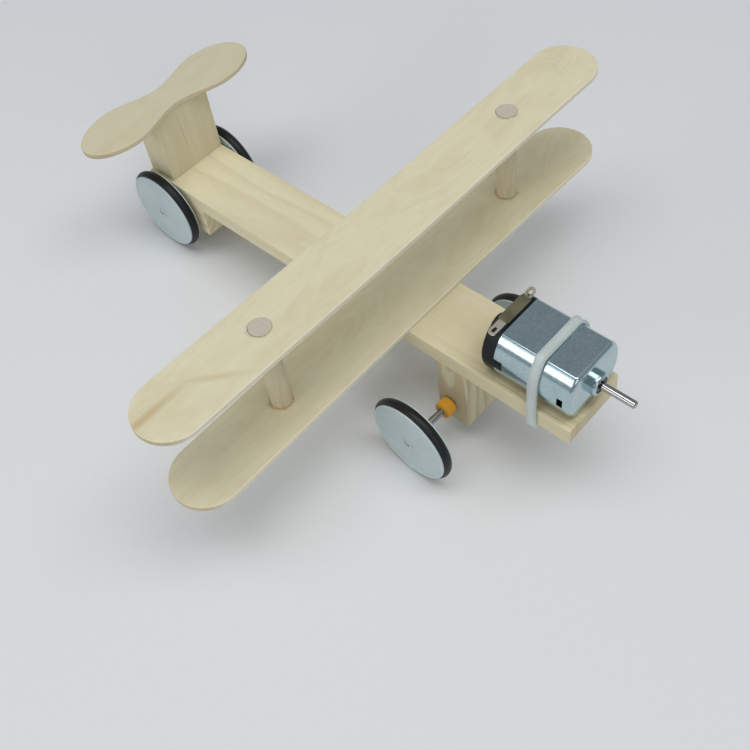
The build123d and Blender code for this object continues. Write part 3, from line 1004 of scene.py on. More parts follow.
@dataclass
class Airframe:
    """Plank, blocks, dowels, wings and tailplane."""

    dowel_along: float = -59.2
    dowel_across: tuple[float, float] = (42.8, -45.9)
    dowel_radius: float = 2.7
    hole_gap: float = 0.07
    hole_shift: tuple[float, float] = (-0.03, -0.04)
    wing_half: float = 78.1
    tail_half: float = 29.2
    fin_high: float = 22.0
    upper_top: float = 29.5
    glue_above: float = 1.15
    thick: float = 1.5

    def make(self) -> None:
        """Shape and dress the whole airframe."""
        self.dress_blocks()
        self.dress_dowels()
        self.make_wings()
        self.make_tailplane()
        self.make_glue()

    def dress_blocks(self) -> None:
        """Dress the plank and its three blocks in pine, each cut from another stretch of wood."""
        plank_lines_and_shade = (
            # The first, broad streak darkens the plank's whole width over its front half, most near the
            # nose: partly darker wood, partly painted shade from the wings above. The narrow ones are real
            # grain lines.
            Streak(across=-2.0, half_width=17.0, start=4.0, end=120.0, strength=0.62),
            Streak(across=-8.0, half_width=2.6, start=10.0, end=120.0, strength=0.85, slope=0.01),
            Streak(across=-9.3, half_width=0.6, start=20.0, end=110.0, strength=1.0, slope=0.004),
            Streak(across=-6.6, half_width=0.6, start=24.0, end=112.0, strength=0.95, slope=0.012),
        )
        dress(["fuselage_plank"], Softwood(
            "pine_plank", DECK.at(-76, 0, -2.6), Grain.FORWARD, contrast=0.24,
            late=(0.47, 0.35, 0.17), streaks=plank_lines_and_shade))
        fin_lines = (
            Streak(across=-1.6, half_width=0.45, start=-16.0, end=22.0, strength=0.50, slope=-0.05),
            Streak(across=3.9, half_width=1.8, start=-30.0, end=30.0, strength=0.16),
            Streak(across=-4.6, half_width=1.2, start=-30.0, end=30.0, strength=0.16),
        )
        dress(["tail_fin_block"], Softwood(
            "pine_fin", DECK.at(-147, 0.3, 9.7), Grain.UPRIGHT, pith=(22.0, 14.0), contrast=0.16,
            early=(0.70, 0.64, 0.43), streaks=fin_lines))
        dress(["front_axle_block"], Softwood(
            "pine_front_block", DECK.at(-35.8, 0, -16), Grain.UPRIGHT, pith=(30.0, 3.4), ring=3.1,
            contrast=0.70, early=(0.64, 0.60, 0.42), late=(0.44, 0.31, 0.16)))
        dress(["rear_axle_block"], Softwood(
            "pine_rear_block", DECK.at(-141, 0, -10), Grain.FORWARD, pith=(-25.0, 12.0), contrast=0.5))

    def dress_dowels(self) -> None:
        """Dress both dowels."""
        for side, across in zip(("left", "right"), self.dowel_across):
            middle = self.upper_top / 2
            dress([f"wing_strut_{side}"], DowelWood(
                f"dowel_{side}", DECK.at(self.dowel_along, across, middle), middle))

    def make_wings(self) -> None:
        """Make both wings: the lower one droops at its tips, the upper one sags in its middle."""
        upper_marks = (
            Streak(across=2.5, half_width=2.3, start=-96.0, end=-54.0, strength=1.0),
            Streak(across=-51.9, half_width=2.4, start=-72.0, end=-44.0, strength=0.55, slope=-0.87),
        )
        lower_marks = (
            Streak(across=-7.6, half_width=3.0, start=-58.0, end=-24.0, strength=0.30, slope=-0.05),
            Streak(across=6.0, half_width=2.4, start=-32.0, end=4.0, strength=0.35, slope=-0.10),
        )
        wings = (
            Wing("lower_wing", across=-2.6, under=0.0, yaw=-0.2, half_chord=9.48, seed=3,
                 bow=Bow(droop=0.8), marks=lower_marks),
            Wing("upper_wing", across=-3.6, under=self.upper_top - self.thick, yaw=-0.4, half_chord=8.98,
                 seed=7, bow=Bow(sag=0.6), marks=upper_marks, figure_from=23 * MM),
        )
        for wing in wings:
            self.make_wing(wing)

    def make_wing(self, wing: Wing) -> None:
        """Cut, bend and drill one wing.

        Args:
            wing: Its place and its ply.
        """
        finish = Plywood(
            f"birch_{wing.node}", DECK.at(wing.along, wing.across, wing.under),
            figure_from=wing.figure_from, streaks=wing.marks)
        flat = WingPlate(self.wing_half, half_chord=wing.half_chord, seed=wing.seed).mesh(wing.node)
        place = DECK.matrix(wing.along, wing.across, wing.under, wing.yaw)
        bent = wing.bow.bend(flat, f"{wing.node}_bent", place, finish.make())
        radius = (self.dowel_radius + self.hole_gap) * MM
        along, across = self.hole_shift
        holes = [(DECK.at(self.dowel_along + along, dowel + across, wing.under), radius)
                 for dowel in self.dowel_across]
        ply = drill(bent, f"{wing.node}_ply", holes)
        place_piece(ply, f"{wing.node}_ply", "airframe", replaces=[wing.node])

    def make_tailplane(self) -> None:
        """Make the spoon-ended tailplane."""
        finish = Plywood("birch_tailplane", DECK.at(-146, 0, 19.5), figure_scale=1.6, figure_from=61 * MM,
                         pale=(0.65, 0.61, 0.44), edge=(0.72, 0.62, 0.44), end_edge=(0.50, 0.39, 0.25))
        flat = TailPlate(self.tail_half, seed=11, stations=140, strips=10).mesh("tailplane")
        bow = Bow(sag=0.0, droop=0.25, droop_from=8.0, half_length=self.tail_half)
        place = DECK.matrix(-146.2, -0.6, self.fin_high, -0.9)
        ply = bow.bend(flat, "tailplane_ply", place, finish.make())
        place_piece(ply, "tailplane_ply", "airframe", replaces=["tailplane"])

    def make_glue(self) -> None:
        """Run a small bead of glue round each dowel's foot."""
        material = Glue().make()
        for seed, side, across in zip((20, 21), ("left", "right"), self.dowel_across):
            bead = GlueBead(self.dowel_radius, seed=seed)
            mesh = bead.mesh(f"dowel_glue_{side}")
            mesh.transform(DECK.matrix(self.dowel_along, across, self.glue_above))
            place_piece(mesh, f"dowel_glue_{side}", "airframe", material)


@dataclass
class GlueBead:
    """A ring of dried glue in the corner round a dowel, uneven in width and height."""

    radius: float
    width: float = 0.55
    high: float = 0.75
    sink: float = 0.05
    turns: int = 72
    seed: int = 0

    def mesh(self, name: str) -> bpy.types.Mesh:
        """Build the bead in millimetres, round its own z."""
        chance = random.Random(self.seed)
        waves = [(chance.uniform(0.1, 0.35), wave, chance.uniform(0, 2 * math.pi)) for wave in (1, 2, 3, 5)]
        section = ((0.0, 0.0), (0.0, 1.0), (0.12, 1.0), (0.35, 0.55), (0.7, 0.28), (1.0, 0.12), (1.0, 0.0))
        points, faces = [], []
        for turn in range(self.turns):
            angle = 2 * math.pi * turn / self.turns
            size = 0.75 + sum(a * math.sin(w * angle + s) for a, w, s in waves) * 0.6
            for out, up in section:
                reach = self.radius - self.sink + (self.sink + self.width * max(size, 0.25)) * out
                points.append((reach * math.cos(angle), reach * math.sin(angle),
                               self.high * max(size, 0.3) * up))
        count = len(section)
        for turn in range(self.turns):
            here, there = turn * count, ((turn + 1) % self.turns) * count
            for i in range(count):
                j = (i + 1) % count
                faces.append([here + i, here + j, there + j, there + i])
        return mesh_from(name, points, faces)


# ---- Running gear ----


@dataclass
class RunningGear:
    """Axles, wheels, tyres and collars."""

    wheel_colour: Colour = (0.52, 0.61, 0.62)

    def make(self) -> None:
        """Dress both wheelsets."""
        places = [(where, side) for where in ("front", "rear") for side in ("left", "right")]
        dress([f"wheel_disc_{w}_{s}" for w, s in places], Moulded(
            "milky_wheel", self.wheel_colour, (0.40, 0.50, 0.52), 0.34, mottle=0.35, speck=0.10,
            texture=1.5, relief=0.015, constants=MILKY))
        dress([f"tyre_{w}_{s}" for w, s in places], Moulded(
            "black_rubber", (0.007, 0.008, 0.009), (0.020, 0.020, 0.020), 0.42, mottle=0.5, speck=0.12,
            texture=5.0, relief=0.02, constants=RUBBER))
        dress(["front_axle", "rear_axle"], Metal(
            "axle_rod", (0.40, 0.41, 0.41), (0.24, 0.23, 0.22), 0.20, Grain.ACROSS, tarnished=0.5))
        dress(["axle_collar_left", "axle_collar_right"], Moulded(
            "amber_collar", (0.74, 0.36, 0.02), (0.58, 0.23, 0.01), 0.34, mottle=0.5,
            constants=SOFT_AMBER))


# ---- Motor ----


@dataclass
class Motor:
    """Can, end bell, shaft, terminals and what is inside."""

    tag_hinge: float = 5.9
    tag_above: float = 15.25
    tag_soft: float = 1.2
    tag_bend: float = 24.0
    tag_cuts: int = 5

    def make(self) -> None:
        """Shape and dress the motor."""
        self.dress_case()
        self.dress_inside()
        Armature().make()

    def dress_case(self) -> None:
        """Dress what shows from outside."""
        # The can's blue-teal colour and tarnish hold a painted reflection of a blue table; the plating
        # itself is neutral.
        dress(["motor_can"], Metal(
            "plated_can", (0.44, 0.56, 0.59), (0.31, 0.42, 0.46), 0.17, Grain.FORWARD,
            smudge=0.10, scratch=0.03, tarnished=0.40, relief=0.002, spangle=0.28))
        dress(["motor_end_bell"], Moulded(
            "black_bell", (0.006, 0.009, 0.009), (0.022, 0.024, 0.024), 0.36, mottle=0.4, speck=0.08,
            texture=4.0, relief=0.03, constants=DULL_BLACK))
        dress(["motor_shaft"], Metal(
            "ground_shaft", (0.42, 0.42, 0.41), (0.30, 0.28, 0.27), 0.15, Grain.FORWARD, tarnished=0.15))
        dress(["terminal_right"], Metal(
            "tinned_brass", (0.97, 0.88, 0.74), (0.62, 0.48, 0.32), 0.26, Grain.ACROSS, tarnished=0.4))
        # The far tag is the same brass as the near one; its dark colour and heavy tarnish are painted shade,
        # for a tag that sits in shadow and reflects something dark.
        dress(["terminal_left"], Metal(
            "brass_with_painted_shade", (0.30, 0.28, 0.23), (0.14, 0.11, 0.08), 0.34, Grain.ACROSS, tarnished=0.7))
        self.bend_far_tag()
        dress(["insulating_strip"], Moulded(
            "olive_board", (0.092, 0.089, 0.048), (0.17, 0.155, 0.09), 0.38, mottle=0.7, speck=0.08,
            texture=3.0, relief=0.02))
        # The bushes' near-black colour is partly oil-soaked bronze and partly painted shade in the recess
        # round the shaft.
        dress(["front_bush", "rear_bush"], Metal(
            "oiled_bronze_and_painted_shade", (0.045, 0.038, 0.03), (0.02, 0.018, 0.016), 0.30, smudge=0.2, tarnished=0.6))

    def bend_far_tag(self) -> None:
        """Bend the end of the left tag up a little, as a soldering iron leaves it."""
        node = frame["nodes"]["terminal_left"]
        mesh = node.data.copy()
        hinge = DECK.at(0.0, self.tag_hinge, self.tag_above)
        work = bmesh.new()
        work.from_mesh(mesh)
        bmesh.ops.remove_doubles(work, verts=work.verts, dist=1e-6)
        for step in range(self.tag_cuts):
            place = hinge + DECK.left * MM * (self.tag_soft * step / (self.tag_cuts - 1))
            bmesh.ops.bisect_plane(
                work, geom=work.verts[:] + work.edges[:] + work.faces[:], plane_co=place, plane_no=DECK.left)
        for vertex in work.verts:
            out = (vertex.co - hinge).dot(DECK.left) / MM
            if out > 0.0:
                angle = math.radians(self.tag_bend) * min(1.0, out / self.tag_soft)
                up = (vertex.co - hinge).dot(DECK.up) / MM
                vertex.co += DECK.up * MM * (math.sin(angle) * out + (math.cos(angle) - 1) * up)
                vertex.co += DECK.left * MM * ((math.cos(angle) - 1) * out - math.sin(angle) * up)
        work.to_mesh(mesh)
        work.free()
        mesh.transform(node.matrix_world)
        place_piece(mesh, "terminal_left_bent", "airframe",
                    node.material_slots[0].material, replaces=["terminal_left"])

    def dress_inside(self) -> None:
        """Dress what the case hides."""
        dress(["magnet_left", "magnet_right"], Moulded(
            "ferrite", (0.045, 0.047, 0.052), (0.08, 0.08, 0.085), 0.55, texture=7.0, relief=0.03))
        dress(["magnet_clip"], Metal("clip_wire", (0.42, 0.42, 0.43), (0.25, 0.24, 0.23), 0.30))
        dress(["brush_left", "brush_right"], Metal(
            "brush_leaf", (0.80, 0.50, 0.32), (0.50, 0.28, 0.16), 0.26))
        dress(["commutator_segments"], Metal(
            "turned_copper", (0.83, 0.48, 0.32), (0.45, 0.24, 0.15), 0.20, Grain.ACROSS, scratch=0.2))
        dress(["commutator_sleeve"], Moulded(
            "brown_sleeve", (0.20, 0.09, 0.04), (0.28, 0.14, 0.07), 0.45))
        dress(["thrust_washers"], Moulded("washer_fibre", (0.60, 0.52, 0.36), (0.45, 0.37, 0.24), 0.7))


@dataclass
class Armature:
    """The turning core and its three coils, in millimetres on the motor's axis."""

    core_from: float = -15.5
    core_to: float = -6.5
    poles: int = 3
    sheets: int = 18
    stem: float = 2.0
    pole_inner: float = 5.3
    pole_outer: float = 6.3
    pole_gap: float = 0.9
    hub: float = 2.2
    bore: float = 1.0
    coil_inner: float = 2.5
    coil_outer: float = 4.6
    coil_wide: float = 4.8
    wire: float = 0.34
    sheet_gap: float = 0.07
    coil_ease: float = 0.15
    arc_steps: int = 12
    bore_sides: int = 32

    def make(self) -> None:
        """Make the stack of laminations and the coils."""
        self.make_stack()
        self.make_coils()

    def place(self, along: float) -> Matrix:
        """Give a placing on the motor's axis: its own z forward, its x left and its y up."""
        turn = Matrix((DECK.left, DECK.up, DECK.forward)).transposed().to_4x4()
        return Matrix.Translation(DECK.at(along, MOTOR_ACROSS, MOTOR_ABOVE)) @ turn @ Matrix.Scale(MM, 4)

    def sheet_outline(self) -> list[tuple[float, float]]:
        """Give one lamination's outer edge, pole by pole."""
        points = []
        half_head = math.pi / self.poles - self.pole_gap / 2 / self.pole_inner
        stem_out = math.asin(self.stem / 2 / self.pole_inner)
        stem_in = math.asin(self.stem / 2 / self.hub)
        steps = self.arc_steps
        for pole in range(self.poles):
            middle = math.pi / 2 + pole * 2 * math.pi / self.poles
            arcs = (
                (self.hub, -stem_in, -stem_in, 1),
                (self.pole_inner, -stem_out, -half_head, steps),
                (self.pole_outer, -half_head, half_head, 2 * steps),
                (self.pole_inner, half_head, stem_out, steps),
                (self.hub, stem_in, 2 * math.pi / self.poles - stem_in, steps),
            )
            for radius, start, end, count in arcs:
                for step in range(count + (radius != self.hub)):
                    angle = middle + start + (end - start) * step / max(count, 1)
                    points.append((radius * math.cos(angle), radius * math.sin(angle)))
        return points

    def make_stack(self) -> None:
        """Stack thin sheets with a hair's gap between them."""
        work = bmesh.new()
        angles = [2 * math.pi * i / self.bore_sides for i in range(self.bore_sides)]
        bore = [(self.bore * math.cos(a), self.bore * math.sin(a)) for a in angles]
        for outline in (self.sheet_outline(), bore):
            ring = [work.verts.new((x, y, 0.0)) for x, y in outline]
            for here, following in zip(ring, ring[1:] + ring[:1]):
                work.edges.new((here, following))
        bmesh.ops.triangle_fill(work, use_beauty=True, edges=work.edges[:])
        sheet = bpy.data.meshes.new("sheet")
        work.to_mesh(sheet)
        work.free()
        pitch = (self.core_to - self.core_from) / self.sheets
        tree = GeometryTree("lamination_stack", {
            "Sheets": self.sheets, "Pitch": pitch, "Gap": self.sheet_gap,
        })
        thick = tree.size("Pitch") - tree.size("Gap")
        solid = tree.add("GeometryNodeExtrudeMesh", {"mode": "FACES"}, {
            "Mesh": tree.inputs["Geometry"], "Offset Scale": thick, "Individual": False})
        flipped = tree.add("GeometryNodeFlipFaces", {}, {0: tree.inputs["Geometry"]})
        whole = tree.add("GeometryNodeJoinGeometry")
        for part in (solid.outputs[0], flipped.outputs[0]):
            tree.tree.links.new(part, whole.inputs[0])
        step = tree.add("ShaderNodeCombineXYZ", {}, {"Z": tree.size("Pitch")}).outputs[0]
        line = tree.add("GeometryNodeMeshLine", {}, {"Count": tree.inputs["Sheets"], "Offset": step})
        many = tree.add("GeometryNodeInstanceOnPoints", {}, {
            "Points": line.outputs[0], "Instance": whole.outputs[0]})
        tree.close(many.outputs[0])
        finish = Metal("lamination_steel", (0.34, 0.34, 0.35), (0.20, 0.18, 0.17), 0.38, tarnished=0.5)
        mesh = tree.grow(sheet, "armature_core_stack", finish.make())
        mesh = self.clean(mesh, self.place(self.core_from))
        place_piece(mesh, "armature_core_stack", "motor_rotor", replaces=["armature_core"])

    @staticmethod
    def clean(mesh: bpy.types.Mesh, place: Matrix) -> bpy.types.Mesh:
        """Merge doubled points, turn the faces outwards, and put a mesh in its place."""
        work = bmesh.new()
        work.from_mesh(mesh)
        bmesh.ops.remove_doubles(work, verts=work.verts, dist=1e-4)
        bmesh.ops.recalc_face_normals(work, faces=work.faces)
        for face in work.faces:
            face.smooth = False
        work.to_mesh(mesh)
        work.free()
        mesh.transform(place)
        return mesh

    def make_coils(self) -> None:
        """Wind enamelled wire round each pole, layer over layer."""
        length = self.core_to - self.core_from
        layers = int((self.coil_wide - self.stem) / 2 / self.wire)
        turns = int((self.coil_outer - self.coil_inner) / self.wire)
        tree = GeometryTree("coil_windings", {
            "Wire Radius": self.wire / 2, "Turns": turns, "Stem Length": length, "Stem Width": self.stem,
            "First Turn": self.coil_inner + self.wire / 2,
        })
        coil = tree.add("GeometryNodeJoinGeometry")
        section = tree.add("GeometryNodeCurvePrimitiveCircle", {}, {
            "Resolution": 6, "Radius": tree.size("Wire Radius")}).outputs[0]
        step = tree.add("ShaderNodeCombineXYZ", {}, {"Z": tree.size("Wire Radius") * 2.0}).outputs[0]
        start = tree.add("ShaderNodeCombineXYZ", {}, {"Z": tree.size("First Turn")}).outputs[0]
        line = tree.add("GeometryNodeMeshLine", {}, {
            "Count": tree.inputs["Turns"], "Start Location": start, "Offset": step}).outputs[0]
        for layer in range(layers):
            out = tree.size("Wire Radius") * (2.0 * layer + 1.0)
            loop = tree.add("GeometryNodeCurvePrimitiveQuadrilateral", {}, {
                "Width": tree.size("Stem Length") + out * 2.0,
                "Height": tree.size("Stem Width") + out * 2.0,
            }).outputs[0]
            soft = tree.add("GeometryNodeFilletCurve", {"mode": "POLY"}, {
                "Curve": loop, "Count": 4, "Radius": out + self.coil_ease}).outputs[0]
            wound = tree.add("GeometryNodeCurveToMesh", {}, {
                "Curve": soft, "Profile Curve": section}).outputs[0]
            many = tree.add("GeometryNodeInstanceOnPoints", {}, {
                "Points": line, "Instance": wound}).outputs[0]
            tree.tree.links.new(many, coil.inputs[0])
        wheel = tree.add("GeometryNodeJoinGeometry")
        for pole in range(self.poles):
            spin = 2 * math.pi * pole / self.poles
            stood = tree.add("GeometryNodeTransform", {}, {
                "Geometry": coil.outputs[0], "Rotation": Euler((-math.pi / 2, 0.0, 0.0))}).outputs[0]
            turned = tree.add("GeometryNodeTransform", {}, {
                "Geometry": stood, "Rotation": Euler((0.0, -math.pi / 2, 0.0))}).outputs[0]
            fixed = tree.add("GeometryNodeTransform", {}, {
                "Geometry": turned, "Rotation": Euler((0.0, 0.0, spin))}).outputs[0]
            tree.tree.links.new(fixed, wheel.inputs[0])
        tree.close(wheel.outputs[0])
        finish = Metal("enamelled_wire", (0.62, 0.25, 0.10), (0.40, 0.14, 0.05), 0.25, tarnished=0.4)
        mesh = tree.grow(empty_mesh("coils"), "armature_coils", finish.make())
        mesh.transform(self.place((self.core_from + self.core_to) / 2))
        place_piece(mesh, "armature_coils", "motor_rotor", replaces=["armature_windings"])


# ---- Cable tie ----


@dataclass
class CableTie:
    """The nylon tie round the motor and the plank, in millimetres on the motor's axis."""

    along: float = -11.3
    wide: float = 2.6
    thick: float = 0.98
    can_radius: float = 10.05
    plank_half: float = 10.3
    plank_under: float = -5.2
    clearance: float = 0.03
    knuckle: float = 0.36
    knuckle_at: tuple[float, float] = (-6.8, 7.7)
    knuckle_spread: float = 1.3
    skew: float = 0.048
    edge_inset: float = 0.32
    edge_radius: float = 0.2
    edge_sink: float = 0.08
    corner: float = 0.28
    spacing: float = 0.35
    head: tuple[float, float, float] = (4.4, 4.8, 3.2)
    head_slot: tuple[float, float] = (2.9, 1.5)
    head_edge: float = 0.45
    tail_out: float = 1.4
    tail_edge: float = 0.2

    def outline(self) -> list[Vector]:
        """Give the tight outline round the can and the plank, anticlockwise from behind the nose."""
        corner = math.asin(MOTOR_ABOVE / self.can_radius)
        points = []
        for middle in (0.0, math.pi):
            for step in range(41):
                angle = middle + corner * (step / 20 - 1)
                points.append((self.can_radius * math.cos(angle), self.can_radius * math.sin(angle)))
        under = self.plank_under - MOTOR_ABOVE
        for across in (self.plank_half - MOTOR_ACROSS, -self.plank_half - MOTOR_ACROSS):
            points += [(across, -MOTOR_ABOVE), (across, under)]
        return self.hull(points)

    @staticmethod
    def hull(points: list[tuple[float, float]]) -> list[Vector]:
        """Give the convex outline of some points."""
        ordered = sorted(set(points))
        sides = []
        for run in (ordered, ordered[::-1]):
            side: list[Vector] = []
            for point in map(Vector, run):
                while len(side) > 1 and (side[-1] - side[-2]).cross(point - side[-1]) <= 1e-9:
                    side.pop()
                side.append(point)
            sides += side[:-1]
        return sides

    def line(self, away: float) -> list[Vector]:
        """Give a line round the outline, with rounded corners and a swelling at the knuckle.

        Args:
            away: How far outside the outline the line runs.

        Returns:
            The line's points, anticlockwise.
        """
        tight = self.outline()
        line = []
        for before, here, after in zip(tight[-1:] + tight[:-1], tight, tight[1:] + tight[:1]):
            first, second = (here - before).normalized(), (after - here).normalized()
            start = math.atan2(-first.x, first.y)
            turn = math.atan2(first.cross(second), first.dot(second))
            steps = max(1, round(abs(turn) / 0.2))
            for step in range(steps + 1):
                angle = start + turn * step / steps
                line.append(here + Vector((math.cos(angle), math.sin(angle))) * away)
        return [point + point.normalized() * self.swelling(point) for point in line]

    def swelling(self, point: Vector) -> float:
        """Give how far the knuckle pushes a point of the line out."""
        distance = (point - Vector(self.knuckle_at)).length
        return self.knuckle * math.exp(-((distance / self.knuckle_spread) ** 2))

    def make(self) -> None:
        """Make the strap, its head and its cut tail."""
        finish = Moulded("milky_nylon", (0.57, 0.64, 0.61), (0.45, 0.53, 0.52), 0.34, mottle=0.4,
                         speck=0.05, texture=2.5, relief=0.02, constants=CLEAR_NYLON).make()
        self.make_strap(finish)
        self.make_edges(finish)
        self.make_head(finish)

    def stand(self, point: Vector, along: float) -> Vector:
        """Give the row place of a point of the strap, whose near side leans forward as it goes down."""
        near = min(1.0, max(0.0, 0.5 - point.x / (2 * self.can_radius)))
        lean = self.skew * near * max(0.0, MOTOR_ABOVE - 1.0 - point.y)
        return DECK.at(self.along + along + lean, MOTOR_ACROSS + point.x, MOTOR_ABOVE + point.y)

    def make_edges(self, finish: bpy.types.Material) -> None:
        """Run the two raised edges along the strap's outside."""
        line = self.line(self.thick + self.clearance - self.edge_sink)
        points, edges = [], []
        for along in (self.wide / 2 - self.edge_inset, self.edge_inset - self.wide / 2):
            start = len(points)
            points += [tuple(self.stand(point, along)) for point in line]
            edges += [(start + i, start + (i + 1) % len(line)) for i in range(len(line))]
        mesh = bpy.data.meshes.new("edge_paths")
        mesh.from_pydata(points, edges, [])
        tree = GeometryTree("tie_edges", {"Edge Radius": self.edge_radius * MM})
        curve = tree.add("GeometryNodeMeshToCurve", {}, {"Mesh": tree.inputs["Geometry"]}).outputs[0]
        ring = tree.add("GeometryNodeCurvePrimitiveCircle", {}, {
            "Resolution": 10, "Radius": tree.size("Edge Radius")}).outputs[0]
        tube = tree.add("GeometryNodeCurveToMesh", {}, {"Curve": curve, "Profile Curve": ring}).outputs[0]
        tree.close(tube)
        tubes = tree.grow(mesh, "cable_tie_edges", finish)
        place_piece(tubes, "cable_tie_edges", "airframe")

    def make_strap(self, finish: bpy.types.Material) -> None:
        """Run the strap round the motor and the plank."""
        path = [self.stand(point, 0.0) for point in self.line(self.thick / 2 + self.clearance)]
        mesh = bpy.data.meshes.new("strap_path")
        edges = [(i, (i + 1) % len(path)) for i in range(len(path))]
        mesh.from_pydata([tuple(p) for p in path], edges, [])
        tree = GeometryTree("tie_strap", {
            "Wide": self.wide * MM, "Thick": self.thick * MM, "Edge": self.corner * MM,
            "Spacing": self.spacing * MM, "Facing": DECK.forward.copy(),
        })
        curve = tree.add("GeometryNodeMeshToCurve", {}, {"Mesh": tree.inputs["Geometry"]}).outputs[0]
        even = tree.add("GeometryNodeResampleCurve", {"mode": "LENGTH"}, {
            "Curve": curve, "Length": tree.inputs["Spacing"]}).outputs[0]
        level = tree.add("GeometryNodeSetCurveNormal", {"mode": "FREE"}, {
            "Curve": even, "Normal": tree.inputs["Facing"]}).outputs[0]
        block = tree.add("GeometryNodeCurvePrimitiveQuadrilateral", {}, {
            "Width": tree.size("Wide"), "Height": tree.size("Thick")}).outputs[0]
        soft = tree.add("GeometryNodeFilletCurve", {"mode": "POLY"}, {
            "Curve": block, "Count": 4, "Radius": tree.size("Edge")}).outputs[0]
        strap = tree.add("GeometryNodeCurveToMesh", {}, {"Curve": level, "Profile Curve": soft}).outputs[0]
        tree.close(strap)
        strap_mesh = tree.grow(mesh, "cable_tie_strap", finish)
        place_piece(strap_mesh, "cable_tie_strap", "airframe", replaces=["cable_tie"])

    def make_head(self, finish: bpy.types.Material) -> None:
        """Make the locking head, hollow for the strap, and the cut end that stands out of it."""
        top = self.plank_under - self.thick / 2
        long, broad, high = self.head
        place = DECK.matrix(self.along, 0.0, top)
        head = self.ring_block((long, broad), self.head_slot, high)
        self.settle(head, "cable_tie_head", finish, place, self.head_edge)
        tail = self.ring_block((self.wide, self.thick), None, high + self.tail_out)
        self.settle(tail, "cable_tie_tail", finish, place, self.tail_edge)

    @staticmethod
    def settle(
        mesh: bpy.types.Mesh, name: str, finish: bpy.types.Material, place: Matrix, edge: float,
    ) -> None:
        """Round a block's edges and put it in place."""
        holder = hold(mesh)
        bevel = holder.modifiers.new("edges", "BEVEL")
        bevel.width, bevel.segments, bevel.limit_method, bevel.angle_limit = edge, 3, "ANGLE", 0.6
        rounded = keep_mesh(holder, name)
        rounded.transform(place)
        place_piece(rounded, name, "airframe", finish)

    @staticmethod
    def ring_block(
        outer: tuple[float, float], inner: tuple[float, float] | None, high: float,
    ) -> bpy.types.Mesh:
        """Build an upright block, hollow if it has an inner size, hanging from z = 0."""
        loops = [outer] if inner is None else [outer, inner]
        points, faces = [], []
        for size in loops:
            for z in (0.0, -high):
                points += [(sx * size[0] / 2, sy * size[1] / 2, z)
                           for sx, sy in ((1, 1), (-1, 1), (-1, -1), (1, -1))]
        for loop in range(len(loops)):
            base = loop * 8
            for i in range(4):
                j = (i + 1) % 4
                faces.append([base + i, base + j, base + 4 + j, base + 4 + i])
        for level in (0, 4):
            if inner is None:
                faces.append([level + i for i in range(4)])
            else:
                faces += [[level + i, level + (i + 1) % 4, 8 + level + (i + 1) % 4, 8 + level + i]
                          for i in range(4)]
        return mesh_from("block", points, faces)


# ---- Studio ----


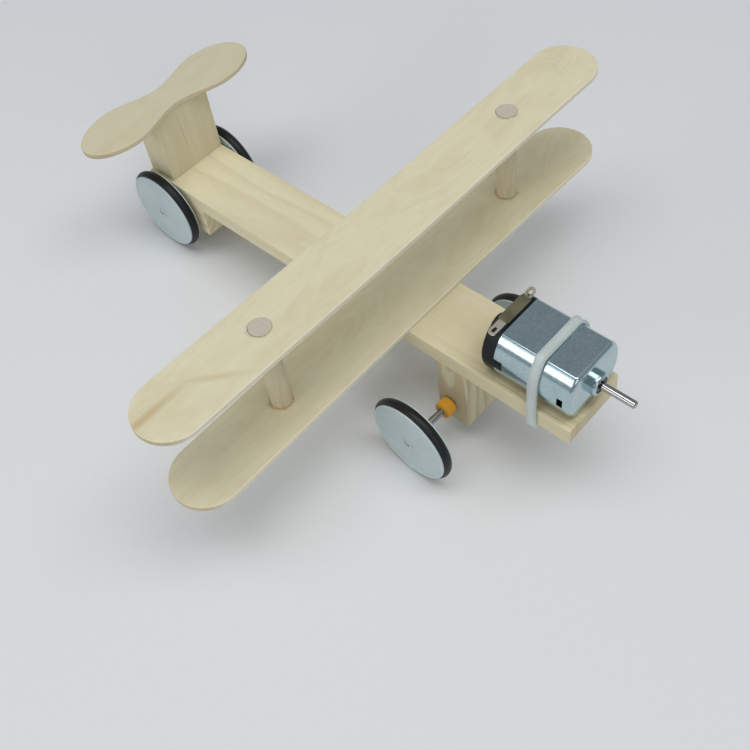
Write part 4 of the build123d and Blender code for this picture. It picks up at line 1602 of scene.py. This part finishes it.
@dataclass
class Studio:
    """A pale floor, soft lamps and the camera."""

    eye: Vector = field(default_factory=lambda: Vector((121.368, -118.165, 239.432)) * MM)
    forward: Vector = field(default_factory=lambda: Vector((-0.3822, 0.38625, -0.83948)))
    right: Vector = field(default_factory=lambda: Vector((0.74605, 0.66504, -0.03367)))
    lens: float = 48.178
    floor_half: float = 3.0
    floor_colour: Colour = (0.78, 0.79, 0.80)
    sky_colour: Colour = (0.90, 0.95, 1.0)
    sky_strength: float = 0.33
    lamps_at: float = 0.02

    def make(self) -> None:
        """Set the stage."""
        self.make_floor()
        self.make_world()
        overhead, level = Vector((0.7, 0.7, 0.0)), Vector((1.0, 0.0, 0.0))
        self.make_lamp("overhead_lamp", Vector((0.06, -0.04, 0.85)), overhead, (1.0, 0.36), 3.9)
        self.make_lamp("side_lamp", Vector((-0.30, -0.84, 0.34)), level, (0.5, 0.22), 1.3)
        self.make_lamp("front_lamp", Vector((0.70, -0.45, 0.50)), Vector((0.5, 0.7, 0.0)), (0.5, 0.4), 1.1)
        self.make_camera()

    def make_floor(self) -> None:
        """Lay a wide pale floor under the tyres."""
        half = self.floor_half
        corners = [(-half, -half, 0), (half, -half, 0), (half, half, 0), (-half, half, 0)]
        floor = bpy.data.objects.new("floor", mesh_from("floor", corners, [(0, 1, 2, 3)]))
        bpy.context.scene.collection.objects.link(floor)
        work = MaterialWork("pale_floor", {})
        place = work.local(Vector(), Euler())
        grain = work.noise(place, (0.5, 0.5, 0.5), 4.0)
        shade = tuple(c * 0.97 for c in self.floor_colour)
        floor.data.materials.append(
            work.finish(work.mix(grain, self.floor_colour, shade), 0.75 + grain * 0.1, grain, 0.01))

    def make_world(self) -> None:
        """Fill the room with soft, even light."""
        world = bpy.data.worlds.new("room")
        world.use_nodes = True
        light = world.node_tree.nodes["Background"]
        light.inputs["Color"].default_value = (*self.sky_colour, 1.0)
        light.inputs["Strength"].default_value = self.sky_strength
        bpy.context.scene.world = world

    def make_lamp(
        self, name: str, place: Vector, long_way: Vector, size: tuple[float, float], watts: float,
    ) -> None:
        """Hang one soft lamp that points at the model.

        Args:
            name: The lamp's name.
            place: Its middle, in metres.
            long_way: The direction of its long side.
            size: Its length and width.
            watts: Its power.
        """
        lamp = bpy.data.lights.new(name, "AREA")
        lamp.shape, lamp.energy = "RECTANGLE", watts
        lamp.size, lamp.size_y = size
        back = (place - Vector((0.0, 0.0, self.lamps_at))).normalized()
        side = (long_way - back * long_way.dot(back)).normalized()
        holder = bpy.data.objects.new(name, lamp)
        holder.matrix_world = Matrix.Translation(place) @ Matrix(
            (side, back.cross(side), back)).transposed().to_4x4()
        bpy.context.scene.collection.objects.link(holder)

    def make_camera(self) -> None:
        """Set the camera."""
        camera = bpy.data.cameras.new("camera")
        camera.lens, camera.sensor_width = self.lens, 36.0
        camera.clip_start, camera.clip_end = 0.01, 20.0
        holder = bpy.data.objects.new("camera", camera)
        back = -self.forward.normalized()
        right = (self.right - back * self.right.dot(back)).normalized()
        holder.matrix_world = Matrix.Translation(self.eye) @ Matrix(
            (right, back.cross(right), back)).transposed().to_4x4()
        bpy.context.scene.collection.objects.link(holder)
        bpy.context.scene.camera = holder
        bpy.context.scene.view_settings.view_transform = "Standard"


def main() -> None:
    """Build every sub-assembly and set the stage."""
    logging.basicConfig(level=logging.INFO, format="%(message)s")
    Studio().make()
    for assembly in (Airframe(), RunningGear(), Motor(), CableTie()):
        LOG.info("making %s", type(assembly).__name__)
        assembly.make()
    bpy.context.view_layer.update()


if __name__ == "__main__":
    main()
